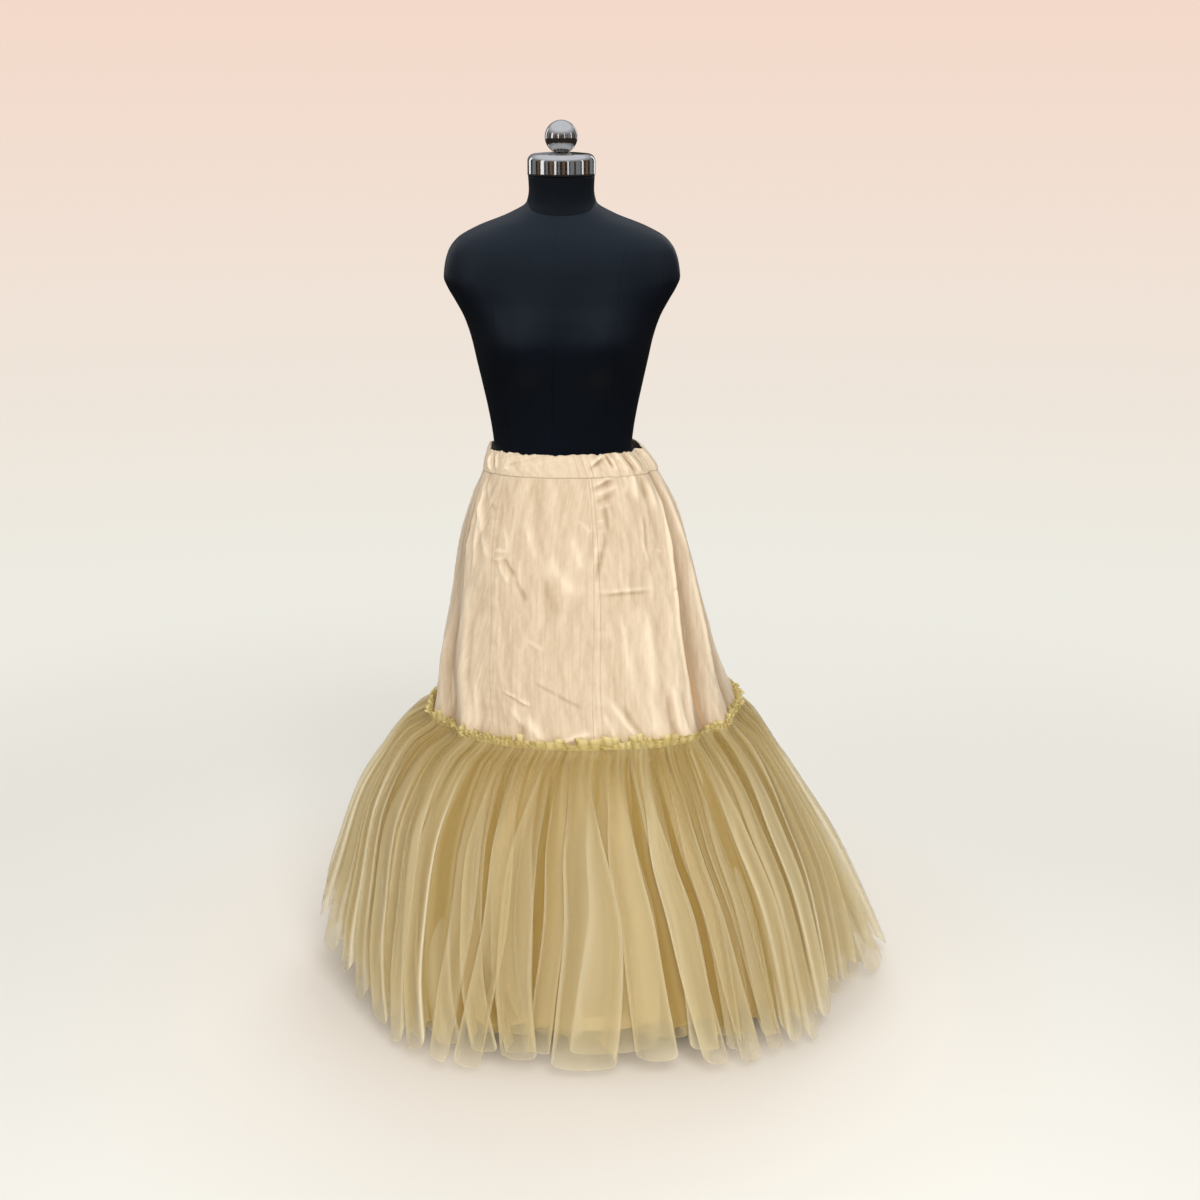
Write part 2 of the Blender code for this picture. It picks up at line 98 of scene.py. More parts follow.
# The seams between the gores, as angles at the casing and at the flounce
GoreSeam = namedtuple("GoreSeam", "gore top bottom")
GORE_SEAMS = table(
    GoreSeam,
    ("gore_front", -45.0, -33.0),
    ("gore_front_right", 11.5, 5.5),
    ("gore_right", 88.0, 62.0),
    ("gore_back_right", 136.0, 122.0),
    ("gore_back", 182.0, 186.0),
    ("gore_left", 238.0, 250.0),
)

# The cloth's large folds, as in the solids
Fold = namedtuple("Fold", "top bottom top_width bottom_width top_height bottom_height")
FOLDS = table(
    Fold,
    (58.0, 38.5, 8.0, 6.5, 0.0020, 0.0075),
    (68.0, 49.0, 7.0, 6.5, -0.0060, -0.0110),
    (79.0, 61.0, 8.0, 6.5, 0.0030, 0.0060),
    (95.0, 75.0, 9.0, 6.5, -0.0020, -0.0070),
    (-74.0, -47.0, 8.0, 6.5, 0.0015, 0.0070),
    (-88.0, -58.0, 8.0, 6.5, -0.0020, -0.0100),
    (-104.0, -72.0, 9.0, 7.5, 0.0020, 0.0060),
    (126.0, 104.0, 8.0, 7.0, 0.0020, 0.0090),
    (146.0, 138.0, 8.0, 7.0, -0.0030, -0.0100),
    (165.0, 160.0, 8.0, 7.0, 0.0015, 0.0080),
    (205.0, 204.0, 8.0, 7.0, -0.0025, -0.0090),
    (225.0, 226.0, 8.0, 7.0, 0.0015, 0.0090),
    (28.0, 24.0, 7.0, 6.0, 0.0, 0.0035),
)
FOLD_FADE_DEPTH = 0.11

# Creases of the cotton: two ends as an angle and a height, how far the middle bows to
# the side, half width, and rise, which is negative for a trough. Degrees and millimetres.
FRONT_CREASES = crease_table(
    (-34.5, 802, -25, 766, 0, 3.5, -1.6),
    (-27, 772, -19.5, 728, 0, 4, -1.3),
    (-36.5, 796, -28, 756, 3, 4.5, 1.3),
    (-24, 805, -23, 742, 1, 3, 1),
    (-36, 850, -31, 804, -2, 3, 0.9),
    (-49, 855, -39, 856, 1, 2.5, 0.7),
    (-42, 808, -30, 808, -2, 2.8, 1.4),
    (-42, 794, -31, 801, 1, 2.5, 1),
    (-24, 866, -18, 825, 2, 5, 0.9),
    (-21, 837, -15.5, 793, -2, 4.5, 1),
    (1.5, 864, 7, 840, -2, 3, 1),
    (0.5, 843, 3.5, 774, 2, 4, 1.1),
    (-10, 810, 2.5, 736, 3, 9, 1.1),
    (-15, 784, -4, 703, 4, 11, -0.8),
    (-66, 889, -52, 826, -4, 6, 2),
    (-55, 834, -43, 789, -3, 5.5, 1.2),
    (-62, 919, -44, 873, 3, 4, 1.5),
    (-57, 910, -41, 863, 3, 3.5, -1.2),
    (15.5, 894, 15.5, 837, -2, 2.6, -1.3),
    (18, 890, 17.5, 841, -1, 3.5, 1.2),
    (15.5, 847, 7, 759, 0, 3, -1.7),
    (11.5, 847, 5.5, 774, 0, 3.5, 1.3),
    (10, 914, 33, 937, -2, 3.2, 1.6),
    (9, 906, 28, 925, -2, 2.8, -1.4),
    (9.5, 899, 29, 917, -1, 3.5, 1.5),
    (9.5, 887, 25, 905, 0, 3, -1.1),
    (10, 878, 22, 890, 0, 3.2, 0.9),
    (9.5, 859, 15, 862, 0, 2.2, 0.8),
    (9.5, 848, 14, 851, 0, 2, -0.8),
    (45.5, 942, 38, 883, 3, 5.5, 2.2),
    (36, 936, 31, 898, -2, 4.5, 1.4),
    (52, 931, 46, 885, 1, 5, -1.4),
    (55, 927, 51, 865, 1, 6, 1.3),
    (40.5, 873, 35.5, 804, 0, 2.8, -1.5),
    (38.5, 873, 33.5, 804, 0, 3.5, 1),
    (34, 831, 36.5, 784, 0, 2.8, 1),
    (42, 811, 48, 805, 1, 2.2, 0.9),
    (6.5, 741, 36, 743, -2, 2.4, -1.3),
    (6.5, 747, 38, 750, -2, 3.4, 1.1),
    (47, 741, 57, 746, 0, 2.6, -0.9),
    (21.5, 813, 18.5, 739, 1, 4.5, 0.9),
    (36, 784, 34, 728, 0, 4.5, 0.9),
    (26.5, 799, 25, 703, 2, 7, -0.9),
    (17, 739, 20, 586, 2, 6, 1.2),
    (30, 733, 27.5, 561, -3, 8, 1.3),
    (-30, 589, -22, 576, 1, 2.2, 1.4),
    (-23.5, 577, -15.5, 565, 1, 2.6, 1.3),
    (-29, 584, -16, 559, 2, 2.8, -1),
    (-16, 604, -6, 582, 0, 2.2, -1.2),
    (-8, 587, 1.5, 561, 0, 2.2, -1.2),
    (-20.5, 675, -10.5, 654, 1, 3.5, 0.9),
    (-26, 566, -20, 526, 1, 6, 1.3),
    (-19.5, 553, -11.5, 504, 2, 7, 1.7),
    (-24, 549, -17, 505, 2, 6, -1),
    (-7.5, 505, 3.5, 524, -4, 4, 1.8),
    (-6, 500, 3, 509, -4, 3.5, -1.4),
    (9.5, 583, 18.5, 508, 2, 5, 2),
    (13.5, 573, 20.5, 512, 2, 4.5, -1.4),
    (6.5, 561, 11, 506, 1, 3.5, 1.2),
    (38, 596, 35.5, 500, 1, 4.5, 2),
    (34.5, 591, 32.5, 500, 1, 5, -1.5),
    (46, 601, 43.5, 500, 1, 4, 1.5),
    (42, 591, 40, 500, 1, 4.5, -1.8),
    (26, 601, 25.5, 503, 1, 5.5, 1.2),
    (67, 938, 53.5, 765, -1, 5, -4.2),
    (61, 870, 50.5, 660, 1, 5.5, -4.2),
    (51.5, 730, 50.5, 495, 0, 6, -3.8),
    (62.5, 935, 49.5, 765, -1, 3.8, 2.4),
    (56, 860, 46.5, 650, 1, 4.2, 2.2),
    (47.5, 730, 46.5, 500, 0, 4.6, 2),
    (72, 928, 73, 780, 2, 5, 2.2),
    (77, 915, 80, 740, 0, 5.5, -2.6),
    (72, 800, 68, 560, 2, 7, 2.4),
    (80, 790, 76, 510, 2, 7, -2.6),
    (-73, 915, -67, 810, -2, 4.5, -1.8),
    (-71, 860, -65, 720, 0, 5, -2.6),
    (-67, 925, -58, 850, -2, 4, 2),
    (-60.5, 880, -54, 750, -1, 5, 1.8),
    (-66, 601, -60.5, 515, 0, 5, 1.5),
    (-43.5, 601, -41, 510, 0, 4.5, 1.1),
    (-52, 703, -46.5, 561, 2, 6, -1.1),
)

# Creases of the sides and the back, which are guessed
HIDDEN_CREASES = crease_table(
    (96, 908, 84, 793, 4, 6, 1.8),
    (108, 907, 99, 812, 3, 5, -1.4),
    (118, 912, 112, 842, -3, 4.5, 1.6),
    (92, 702, 84, 530, 3, 8, 1.5),
    (104, 641, 98, 505, -2, 6, -1.6),
    (128, 761, 134, 736, 2, 2.8, 1.2),
    (129, 753, 136, 725, 2, 3, -1.1),
    (140, 906, 137, 851, 2, 4.5, 1.6),
    (150, 908, 152, 830, -2, 5, -1.5),
    (158, 912, 156, 862, 1, 4, 1.7),
    (150, 680, 163, 640, 3, 4, 1.1),
    (147, 600, 143, 505, 2, 6.5, 1.8),
    (170, 590, 174, 505, 1, 5.5, -1.4),
    (176, 905, 180, 840, 0, 4, 1.5),
    (190, 908, 187, 850, 1, 4.5, -1.3),
    (200, 910, 202, 855, 2, 4.5, 1.8),
    (186, 742, 214, 736, 3, 2.6, -1.1),
    (187, 750, 212, 744, 3, 3.4, 1),
    (194, 660, 205, 560, 6, 8, 1.4),
    (214, 906, 210, 820, 3, 5, 1.5),
    (226, 909, 229, 846, 1, 4, -1.4),
    (222, 590, 219, 505, 2, 6, -1.5),
    (240, 902, 243, 816, -2, 5, 1.6),
    (254, 908, 262, 832, 3, 5.5, -1.5),
    (262, 691, 272, 661, 2, 3.2, 1.2),
    (258, 611, 256, 505, 1, 6.5, 1.6),
    (275, 641, 284, 510, 2, 7, -1.3),
    (268, 908, 280, 853, 2, 4.5, 1.5),
)

# Pulls and tucks of the casing
CASING_CREASES = crease_table(
    (10, 940, 29, 962, -2, 2.2, -2.4),
    (12, 948, 27, 968, -1, 2.8, 2.2),
    (28.5, 970, 29, 942, 1, 2.6, -2.8),
    (33.5, 966, 31, 936, 2, 3.6, 2.4),
    (43, 970, 47, 929, 1, 2.8, -3),
    (38.5, 966, 40.5, 934, 1, 4, 2.6),
    (50.5, 967, 52, 931, 2, 3.6, 2.4),
    (57, 967, 57.5, 931, 1, 3, -2.2),
    (64, 965, 66, 925, 1, 3.6, 2),
    (-68, 962, -60, 931, 2, 3.4, 2.6),
    (-64, 967, -55.5, 941, 2, 2.6, -2.4),
    (-58, 967, -53, 935, 0, 3, 1.8),
    (-42, 946, -33, 954, 0, 2.6, -1.2),
    (-49, 940, -38, 944, 0, 2.6, 1.2),
)

# How deep the casing is gathered at angles round it
GATHER_ANGLES = (-180.0, -120.0, -75.0, -55.0, -35.0, 5.0, 20.0, 45.0, 80.0, 130.0, 180.0)
GATHER_DEPTHS = (0.0022, 0.0024, 0.0026, 0.0016, 0.0007, 0.0006, 0.0018, 0.0028, 0.0028, 0.0024, 0.0022)

# Layers of the flounce from the inside out. Two sheets of net stand in for the outermost solid, the
# inner one half a fold on. After the names come the number of folds and of points in a fold, the middle
# and the swing of a fold at the hem, its middle at the seam, its share of the bulges, the hem's height,
# how far it rises between folds, how far a fold overhangs the gap beside it as a share of a fold, how far
# round the folds start, the crowding of the gathers, the chance that the solid has, the sheet's own seed
# and its cut size.
Layer = namedtuple(
    "Layer",
    "name solid folds points_each middle swing seam bulge "
    "hem scallop overhang turned phase chance seed cut",
)
LINING = Layer(
    "lining_flounce_cloth", "lining_flounce", 16, 26, -0.070, 0.0085, 0.0, 0.0,
    0.048, 0.004, 0.0, 0.0, 0.9, 16, 71, (2.55, 0.475),
)
NETS = table(
    Layer,
    (
        "net_under_sheet", "net_layer_under", 30, 28, -0.052, 0.0120, 0.0030, 0.3,
        0.030, 0.022, 0.12, 0.0, 2.6, 30, 100, (3.20, 0.480),
    ),
    (
        "net_inner_sheet", "net_layer_top", 42, 26, -0.034, 0.0150, 0.0050, 0.8,
        0.022, 0.030, 0.13, 0.5, 4.3, 42, 240, (3.80, 0.500),
    ),
    (
        "net_outer_sheet", "net_layer_top", 42, 28, -0.019, 0.0200, 0.0066, 1.0,
        0.011, 0.046, 0.13, 0.0, 4.3, 42, 200, (4.40, 0.515),
    ),
)
UNEVEN_GATHERS = 0.25
UNEVEN_FOLDS = 0.12
PANEL_LEAN = 0.07
CROSS_SEAM_GAP = 0.0007
HEM_LIFT_LEFT = 0.058
HEM_LIFT_ANGLE = -93.0
HEM_LIFT_WIDTH = 22.0
HEM_UNEVEN = 0.024
LEAST_SWING = 0.45

# The raw net edge above the flounce seam
FRILL_HEIGHT = 0.020
FRILL_RIPPLES = 140
FRILL_POINTS_EACH = 9
FRILL_FOOT_DEPTH = 0.0045

# Outline of the torso: half width, reach to the front and back, and squareness
FormRing = namedtuple("FormRing", "height half_width front back squareness")
FORM_RINGS = table(
    FormRing,
    (NECK_TOP_HEIGHT, 0.0545, 0.0530, 0.0560, 2.0),
    (1.3960, 0.0535, 0.0530, 0.0560, 2.0),
    (1.3760, 0.0572, 0.0550, 0.0600, 2.0),
    (1.3580, 0.0860, 0.0630, 0.0680, 2.0),
    (1.3370, 0.1390, 0.0740, 0.0780, 2.0),
    (1.3180, 0.1720, 0.0830, 0.0870, 2.05),
    (1.2980, 0.1870, 0.0900, 0.0930, 2.1),
    (1.2740, 0.1940, 0.0970, 0.0980, 2.1),
    (1.2540, 0.1960, 0.1010, 0.1005, 2.1),
    (1.2380, 0.1900, 0.1040, 0.1020, 2.15),
    (1.2180, 0.1785, 0.1070, 0.1030, 2.2),
    (1.1900, 0.1635, 0.1110, 0.1030, 2.25),
    (1.1560, 0.1520, 0.1130, 0.1015, 2.3),
    (1.1180, 0.1437, 0.1080, 0.0985, 2.3),
    (1.0780, 0.1350, 0.0990, 0.0950, 2.25),
    (1.0360, 0.1263, 0.0915, 0.0910, 2.2),
    (0.9980, 0.1200, 0.0870, 0.0890, 2.2),
    (0.9730, 0.1176, 0.0855, 0.0895, 2.2),
    (0.9500, 0.1263, 0.0885, 0.0960, 2.2),
    (0.9160, 0.1360, 0.0925, 0.1025, 2.2),
    (0.8700, 0.1410, 0.0970, 0.1110, 2.2),
    (0.8200, 0.1520, 0.1020, 0.1210, 2.25),
    (0.7600, 0.1590, 0.1050, 0.1240, 2.25),
    (0.7000, 0.1560, 0.1040, 0.1180, 2.25),
    (0.6600, 0.1500, 0.1000, 0.1100, 2.2),
    (TORSO_FOOT_HEIGHT, 0.1400, 0.0920, 0.1000, 2.2),
)
BUST_HEIGHT = 1.146
BUST_APART = 0.078
BUST_SPREAD_ACROSS = 0.050
BUST_SPREAD_UP = 0.058
BUST_RISE = 0.020

# The chrome fittings and the stand
GAP = 0.0003
CAP_LIP = 0.0016
CAP_RADIUS = 0.0555
CAP_SIDE = 0.0220
CAP_EDGE = 0.0120
CAP_DOME = 0.0025
BALL_RADIUS = 0.0267
BALL_HEIGHT = 1.4785
STEM_RADIUS = 0.0120
POLE_RADIUS = 0.0160
BASE_RADIUS = 0.165
BASE_RIM = 0.010
BASE_DOME = 0.014

# The photograph's camera
CAMERA_PLACE = (0.063, -2.95, 1.595)
CAMERA_TILT = 73.0
LENS = 52.83
NET_LAYERS_SEEN_THROUGH = 28


# Surfaces

def smooth_between(places, values, at):
    """Cubic through the table's points whose slope at each point is the harmonic mean of the slopes
    beside it, or 0 where they turn, so that it never overshoots."""
    places = np.asarray(places, float)
    values = np.asarray(values, float)
    order = np.argsort(places)
    places, values = places[order], values[order]
    steps = np.diff(places)
    slopes = np.diff(values) / steps
    tangents = np.concatenate([slopes[:1], np.zeros(len(slopes) - 1), slopes[-1:]])
    same_way = slopes[:-1] * slopes[1:] > 0
    tangents[1:-1][same_way] = 2 / (1 / slopes[:-1][same_way] + 1 / slopes[1:][same_way])
    at = np.clip(at, places[0], places[-1])
    cell = np.clip(np.searchsorted(places, at) - 1, 0, len(steps) - 1)
    share = (at - places[cell]) / steps[cell]
    start, end = values[cell], values[cell + 1]
    rise = steps[cell] * tangents[cell]
    fall = steps[cell] * tangents[cell + 1]
    return (
        start * (2 * share**3 - 3 * share**2 + 1)
        + rise * (share**3 - 2 * share**2 + share)
        + end * (3 * share**2 - 2 * share**3)
        + fall * (share**3 - share**2)
    )


def column(rings, name, height):
    return smooth_between(
        [ring.height for ring in rings], [getattr(ring, name) for ring in rings], height
    )


def section(angle, left, right, front, back, squareness):
    """Points of a level section and its outward direction. Each half is a superellipse: x goes as the
    sine and y as the cosine, each to the power 2 / squareness with its sign kept."""
    across = (left + right) / 2
    middle = (right - left) / 2
    depth = np.where(np.cos(angle) > 0, front, back)
    power = 2 / squareness
    sine = np.sign(np.sin(angle)) * np.abs(np.sin(angle)) ** power
    cosine = np.sign(np.cos(angle)) * np.abs(np.cos(angle)) ** power
    out_x = np.sign(sine) * np.abs(sine) ** (squareness - 1) / across
    out_y = -np.sign(cosine) * np.abs(cosine) ** (squareness - 1) / depth
    length = np.hypot(out_x, out_y)
    return middle + across * sine, -depth * cosine, out_x / length, out_y / length


def turn_between(angle, other):
    """Signed turn from other to angle, between -180 and 180 degrees."""
    return (angle - other + 180.0) % 360.0 - 180.0


def fold_relief(degrees, share):
    """Sum over the large folds of height times exp(-(turn from the fold / its half width) squared)."""
    relief = np.zeros(np.broadcast(degrees, share).shape)
    for fold in FOLDS:
        centre = fold.top + (fold.bottom - fold.top) * share
        width = fold.top_width + (fold.bottom_width - fold.top_width) * share
        height = fold.top_height + (fold.bottom_height - fold.top_height) * share
        relief += height * np.exp(-((turn_between(degrees, centre) / width) ** 2))
    return relief


def gore_share(height):
    """0 at the casing seam and 1 at the flounce seam."""
    return np.clip((CASING_SEAM_HEIGHT - height) / (CASING_SEAM_HEIGHT - SEAM_HEIGHT), 0.0, 1.0)


def skirt_points(degrees, height, out):
    """Points of the skirt's outline at an angle and height, moved out along its level sections."""
    angle = np.radians(degrees)
    fade = np.clip(1.0 - (SEAM_HEIGHT - height) / FOLD_FADE_DEPTH, 0.0, 1.0) ** 2
    x, y, out_x, out_y = section(
        angle,
        *(column(SKIRT_RINGS, name, height) for name in ("left", "right", "front", "back", "squareness")),
    )
    out = out + fold_relief(degrees, gore_share(height)) * fade
    above_seam = np.clip((height - SEAM_HEIGHT) / (CASING_SEAM_HEIGHT - SEAM_HEIGHT), 0.0, 1.0)
    lift = FRONT_LIFT * above_seam * (0.5 + 0.5 * np.cos(angle))
    return np.stack([x + out * out_x, y + out * out_y, height + lift], axis=-1)


def gathered_angles(count, place, uneven, phase):
    """Angle in degrees at a place counted in gathers. The gathers crowd and spread in two slow waves
    round the skirt, of three and seven to a turn, each by the uneven share."""
    fine = np.linspace(-90.0, 450.0, 5401)
    turn = np.radians(fine)
    grown = turn + uneven * (np.sin(3 * turn + phase) - np.sin(phase)) / 3
    grown += uneven * (np.sin(7 * turn + 2 * phase) - np.sin(2 * phase)) / 7
    return np.interp(place, grown * count / (2 * math.pi), fine)


def bulge_reach(degrees, height):
    """Sum over the bulges of reach times exp(-(turn / width) squared), falling evenly with height."""
    low = np.clip(1.0 - height / BULGE_TOP_HEIGHT, 0.0, 1.0)
    reach = np.zeros(np.broadcast(degrees, height).shape)
    for bulge in BULGES:
        reach = reach + bulge.reach * np.exp(-((turn_between(degrees, bulge.angle) / bulge.width) ** 2))
    return low * reach


def uneven_along(place, count, least, chance):
    """A share between least and 1 for each fold, running evenly from one fold to the next."""
    shares = chance.uniform(least, 1.0, count)
    return np.interp(place % count, np.arange(count + 1), np.append(shares, shares[0]))


def wander(place, seed, turns=0):
    """A smooth random curve between -1 and 1 with a new value at each whole place, joined by half
    cosines. With turns, it repeats after that many places."""
    count = turns or 4096
    values = np.random.default_rng(seed).uniform(-1.0, 1.0, count)
    low = np.floor(place).astype(int)
    share = 0.5 - 0.5 * np.cos(math.pi * (place - low))
    return values[low % count] * (1 - share) + values[(low + 1) % count] * share


def crumple(x, z, seed, waves, shortest, longest, upright):
    """Sum of sine waves of random length and direction, whose crests lean towards the vertical by the
    upright factor, scaled to about -1 to 1."""
    chance = np.random.default_rng(seed)
    total = np.zeros(np.broadcast(x, z).shape)
    for _ in range(waves):
        length = chance.uniform(shortest, longest)
        lean = chance.normal(0.0, 1.0 / upright)
        phase = chance.uniform(0.0, 2 * math.pi)
        total = total + np.sin(2 * math.pi * (x * math.cos(lean) + z * math.sin(lean)) / length + phase)
    return total / math.sqrt(waves)


def reach_at(height):
    """Metres of cloth for each radian round the skirt, near enough to place creases."""
    return 0.14 + 0.11 * gore_share(height)


def crease_relief(degrees, height, creases):
    """Sum over the creases of rise times exp(-(distance from the crease's line / half width) squared),
    eased in and out over the first and last third of its length. The line bows by a parabola."""
    relief = np.zeros(np.broadcast(degrees, height).shape)
    for crease in creases:
        middle = (crease.turn_a + crease.turn_b) / 2
        reach = reach_at((crease.height_a + crease.height_b) / 2)
        x = np.radians(turn_between(degrees, middle)) * reach
        start = math.radians(crease.turn_a - middle) * reach
        along_x = math.radians(crease.turn_b - crease.turn_a) * reach
        along_z = crease.height_b - crease.height_a
        length = math.hypot(along_x, along_z)
        share = ((x - start) * along_x + (height - crease.height_a) * along_z) / length**2
        side = ((x - start) * along_z - (height - crease.height_a) * along_x) / length
        side = side - crease.bow * 4 * share * (1 - share)
        ends = np.clip(share * 3, 0, 1) * np.clip((1 - share) * 3, 0, 1)
        ends = ends * ends * (3 - 2 * ends)
        relief += crease.rise * np.exp(-((side / crease.width) ** 2)) * ends
    return relief


def lengths_along(points, axis):
    """Distance walked along a grid of points from its first row or column."""
    steps = np.linalg.norm(np.diff(points, axis=axis), axis=-1)
    start = np.zeros_like(np.take(steps, [0], axis=axis))
    return np.concatenate([start, np.cumsum(steps, axis=axis)], axis=axis)


# Meshes

PIECES = bpy.data.collections.new("cancan_skirt_pieces")
bpy.context.scene.collection.children.link(PIECES)


def surface(name, points, finish, around=False, flat=None, fields=None, closed=False):
    """A smooth mesh of four-sided faces over a grid of points, rows upwards and columns anticlockwise
    from above, so that it faces outwards. flat gives each corner's place on the cut cloth, with one more
    column than points has where it goes all round, and fields are numbers kept at each point. A closed
    mesh has its first and last rows drawn together at a pole."""
    rows, columns = points.shape[:2]
    index = np.arange(rows * columns).reshape(rows, columns)
    following = np.roll(index, -1, axis=1) if around else index[:, 1:]
    here = index if around else index[:, :-1]
    faces = np.stack([here[:-1], following[:-1], following[1:], here[1:]], axis=-1).reshape(-1, 4)
    mesh = bpy.data.meshes.new(name)
    mesh.from_pydata(points.reshape(-1, 3).tolist(), [], faces.tolist())
    if flat is not None:
        corners = np.stack([flat[:-1, :-1], flat[:-1, 1:], flat[1:, 1:], flat[1:, :-1]], axis=2)
        mesh.uv_layers.new(name="UVMap").data.foreach_set("uv", corners.reshape(-1).astype(np.float32))
    for field, values in (fields or {}).items():
        layer = mesh.attributes.new(field, "FLOAT", "POINT")
        spread = np.broadcast_to(values, (rows, columns)).reshape(-1)
        layer.data.foreach_set("value", spread.astype(np.float32))
    mesh.materials.append(finish)
    obj = bpy.data.objects.new(name, mesh)
    PIECES.objects.link(obj)
    if closed:
        draw_together(mesh)
    mesh.shade_smooth()
    return obj


def draw_together(mesh):
    """Merges the points that lie on each other at a pole, and turns every face outwards."""
    work = bmesh.new()
    work.from_mesh(mesh)
    bmesh.ops.remove_doubles(work, verts=work.verts, dist=1e-6)
    bmesh.ops.recalc_face_normals(work, faces=work.faces)
    work.to_mesh(mesh)
    work.free()


def wall(obj, thickness):
    """Gives a sheet its thickness, inwards from the surface that it was made on."""
    shell = obj.modifiers.new("Wall", "SOLIDIFY")
    shell.thickness = thickness
    shell.offset = -1.0


def finish_piece(obj, solid):
    """Every piece rides on the one body, and the solid that it stands for is hidden."""
    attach(obj, "root")
    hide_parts(solid)


# Finishes

class Signal:
    """A socket of a material's nodes, with Python's sums on it."""

    def __init__(self, recipe, socket):
        self.recipe = recipe
        self.socket = socket

    def maths(self, operation, first, second=None):
        values = {0: first} if second is None else {0: first, 1: second}
        return self.recipe.node("ShaderNodeMath", {"operation": operation}, values)

    def __add__(self, other):
        return self.maths("ADD", self, other)

    def __sub__(self, other):
        return self.maths("SUBTRACT", self, other)

    def __rsub__(self, other):
        return self.maths("SUBTRACT", other, self)

    def __mul__(self, other):
        return self.maths("MULTIPLY", self, other)

    def __truediv__(self, other):
        return self.maths("DIVIDE", self, other)

    def __pow__(self, other):
        return self.maths("POWER", self, other)

    def __abs__(self):
        return self.maths("ABSOLUTE", self)

    def sine(self):
        return self.maths("SINE", self)

    def above(self, limit):
        return self.maths("GREATER_THAN", self, limit)

    def least(self, other):
        return self.maths("MINIMUM", self, other)

    def most(self, other):
        return self.maths("MAXIMUM", self, other)

    def kept(self, low=0.0, high=1.0):
        """The value held between two limits."""
        return self.most(low).least(high)

    def line(self, half_width):
        """1 where the value is 0, falling evenly to 0 at half_width on each side."""
        return (1.0 - abs(self) / half_width).most(0.0)


class Recipe:
    """The nodes of one material or world."""

    def __init__(self, owner):
        self.owner = owner
        owner.use_nodes = True
        self.tree = owner.node_tree
        self.tree.nodes.clear()

    def node(self, kind, settings=None, values=None, output=0):
        """A node of a kind, with its settings set first, then each named or numbered input given a value
        or a signal. It returns the signal of one output."""
        made = self.tree.nodes.new(kind)
        for name, setting in (settings or {}).items():
            setattr(made, name, setting)
        for name, value in (values or {}).items():
            if isinstance(value, Signal):
                self.tree.links.new(value.socket, made.inputs[name])
            else:
                made.inputs[name].default_value = value
        return Signal(self, made.outputs[output]) if made.outputs else None

    def place(self):
        """The point in the object's own metres."""
        return self.node("ShaderNodeTexCoord", output="Object")

    def cut_place(self):
        """The point on the cut cloth, in metres."""
        return self.node("ShaderNodeUVMap", {"uv_map": "UVMap"})

    def field(self, name):
        """A number kept at the mesh's points."""
        return self.node("ShaderNodeAttribute", {"attribute_name": name}, output="Fac")

    def stretched(self, place, scale):
        return self.node("ShaderNodeMapping", values={"Vector": place, "Scale": scale})

    def noise(self, place, scale, detail=2.0, roughness=0.5):
        values = {"Vector": place, "Scale": scale, "Detail": detail, "Roughness": roughness}
        return self.node("ShaderNodeTexNoise", values=values)

    def part_of(self, vector, axis):
        return self.node("ShaderNodeSeparateXYZ", values={0: vector}, output=axis)

    def mixed(self, share, first, second):
        """A colour between two colours."""
        values = {0: share, 6: first, 7: second}
        settings = {"data_type": "RGBA", "clamp_factor": True}
        return self.node("ShaderNodeMix", settings, values, output=2)

    def bump(self, height):
        """Relief from a height in millimetres."""
        return self.node("ShaderNodeBump", values={"Height": height, "Distance": 0.001, "Strength": 1.0})

    def principled(self, values):
        return self.node("ShaderNodeBsdfPrincipled", values=values)

    def done(self, shader):
        ends = "World" if isinstance(self.owner, bpy.types.World) else "Material"
        self.node("ShaderNodeOutput" + ends, values={"Surface": shader})
        return self.owner


def colour(red, green, blue):
    return (red, green, blue, 1.0)


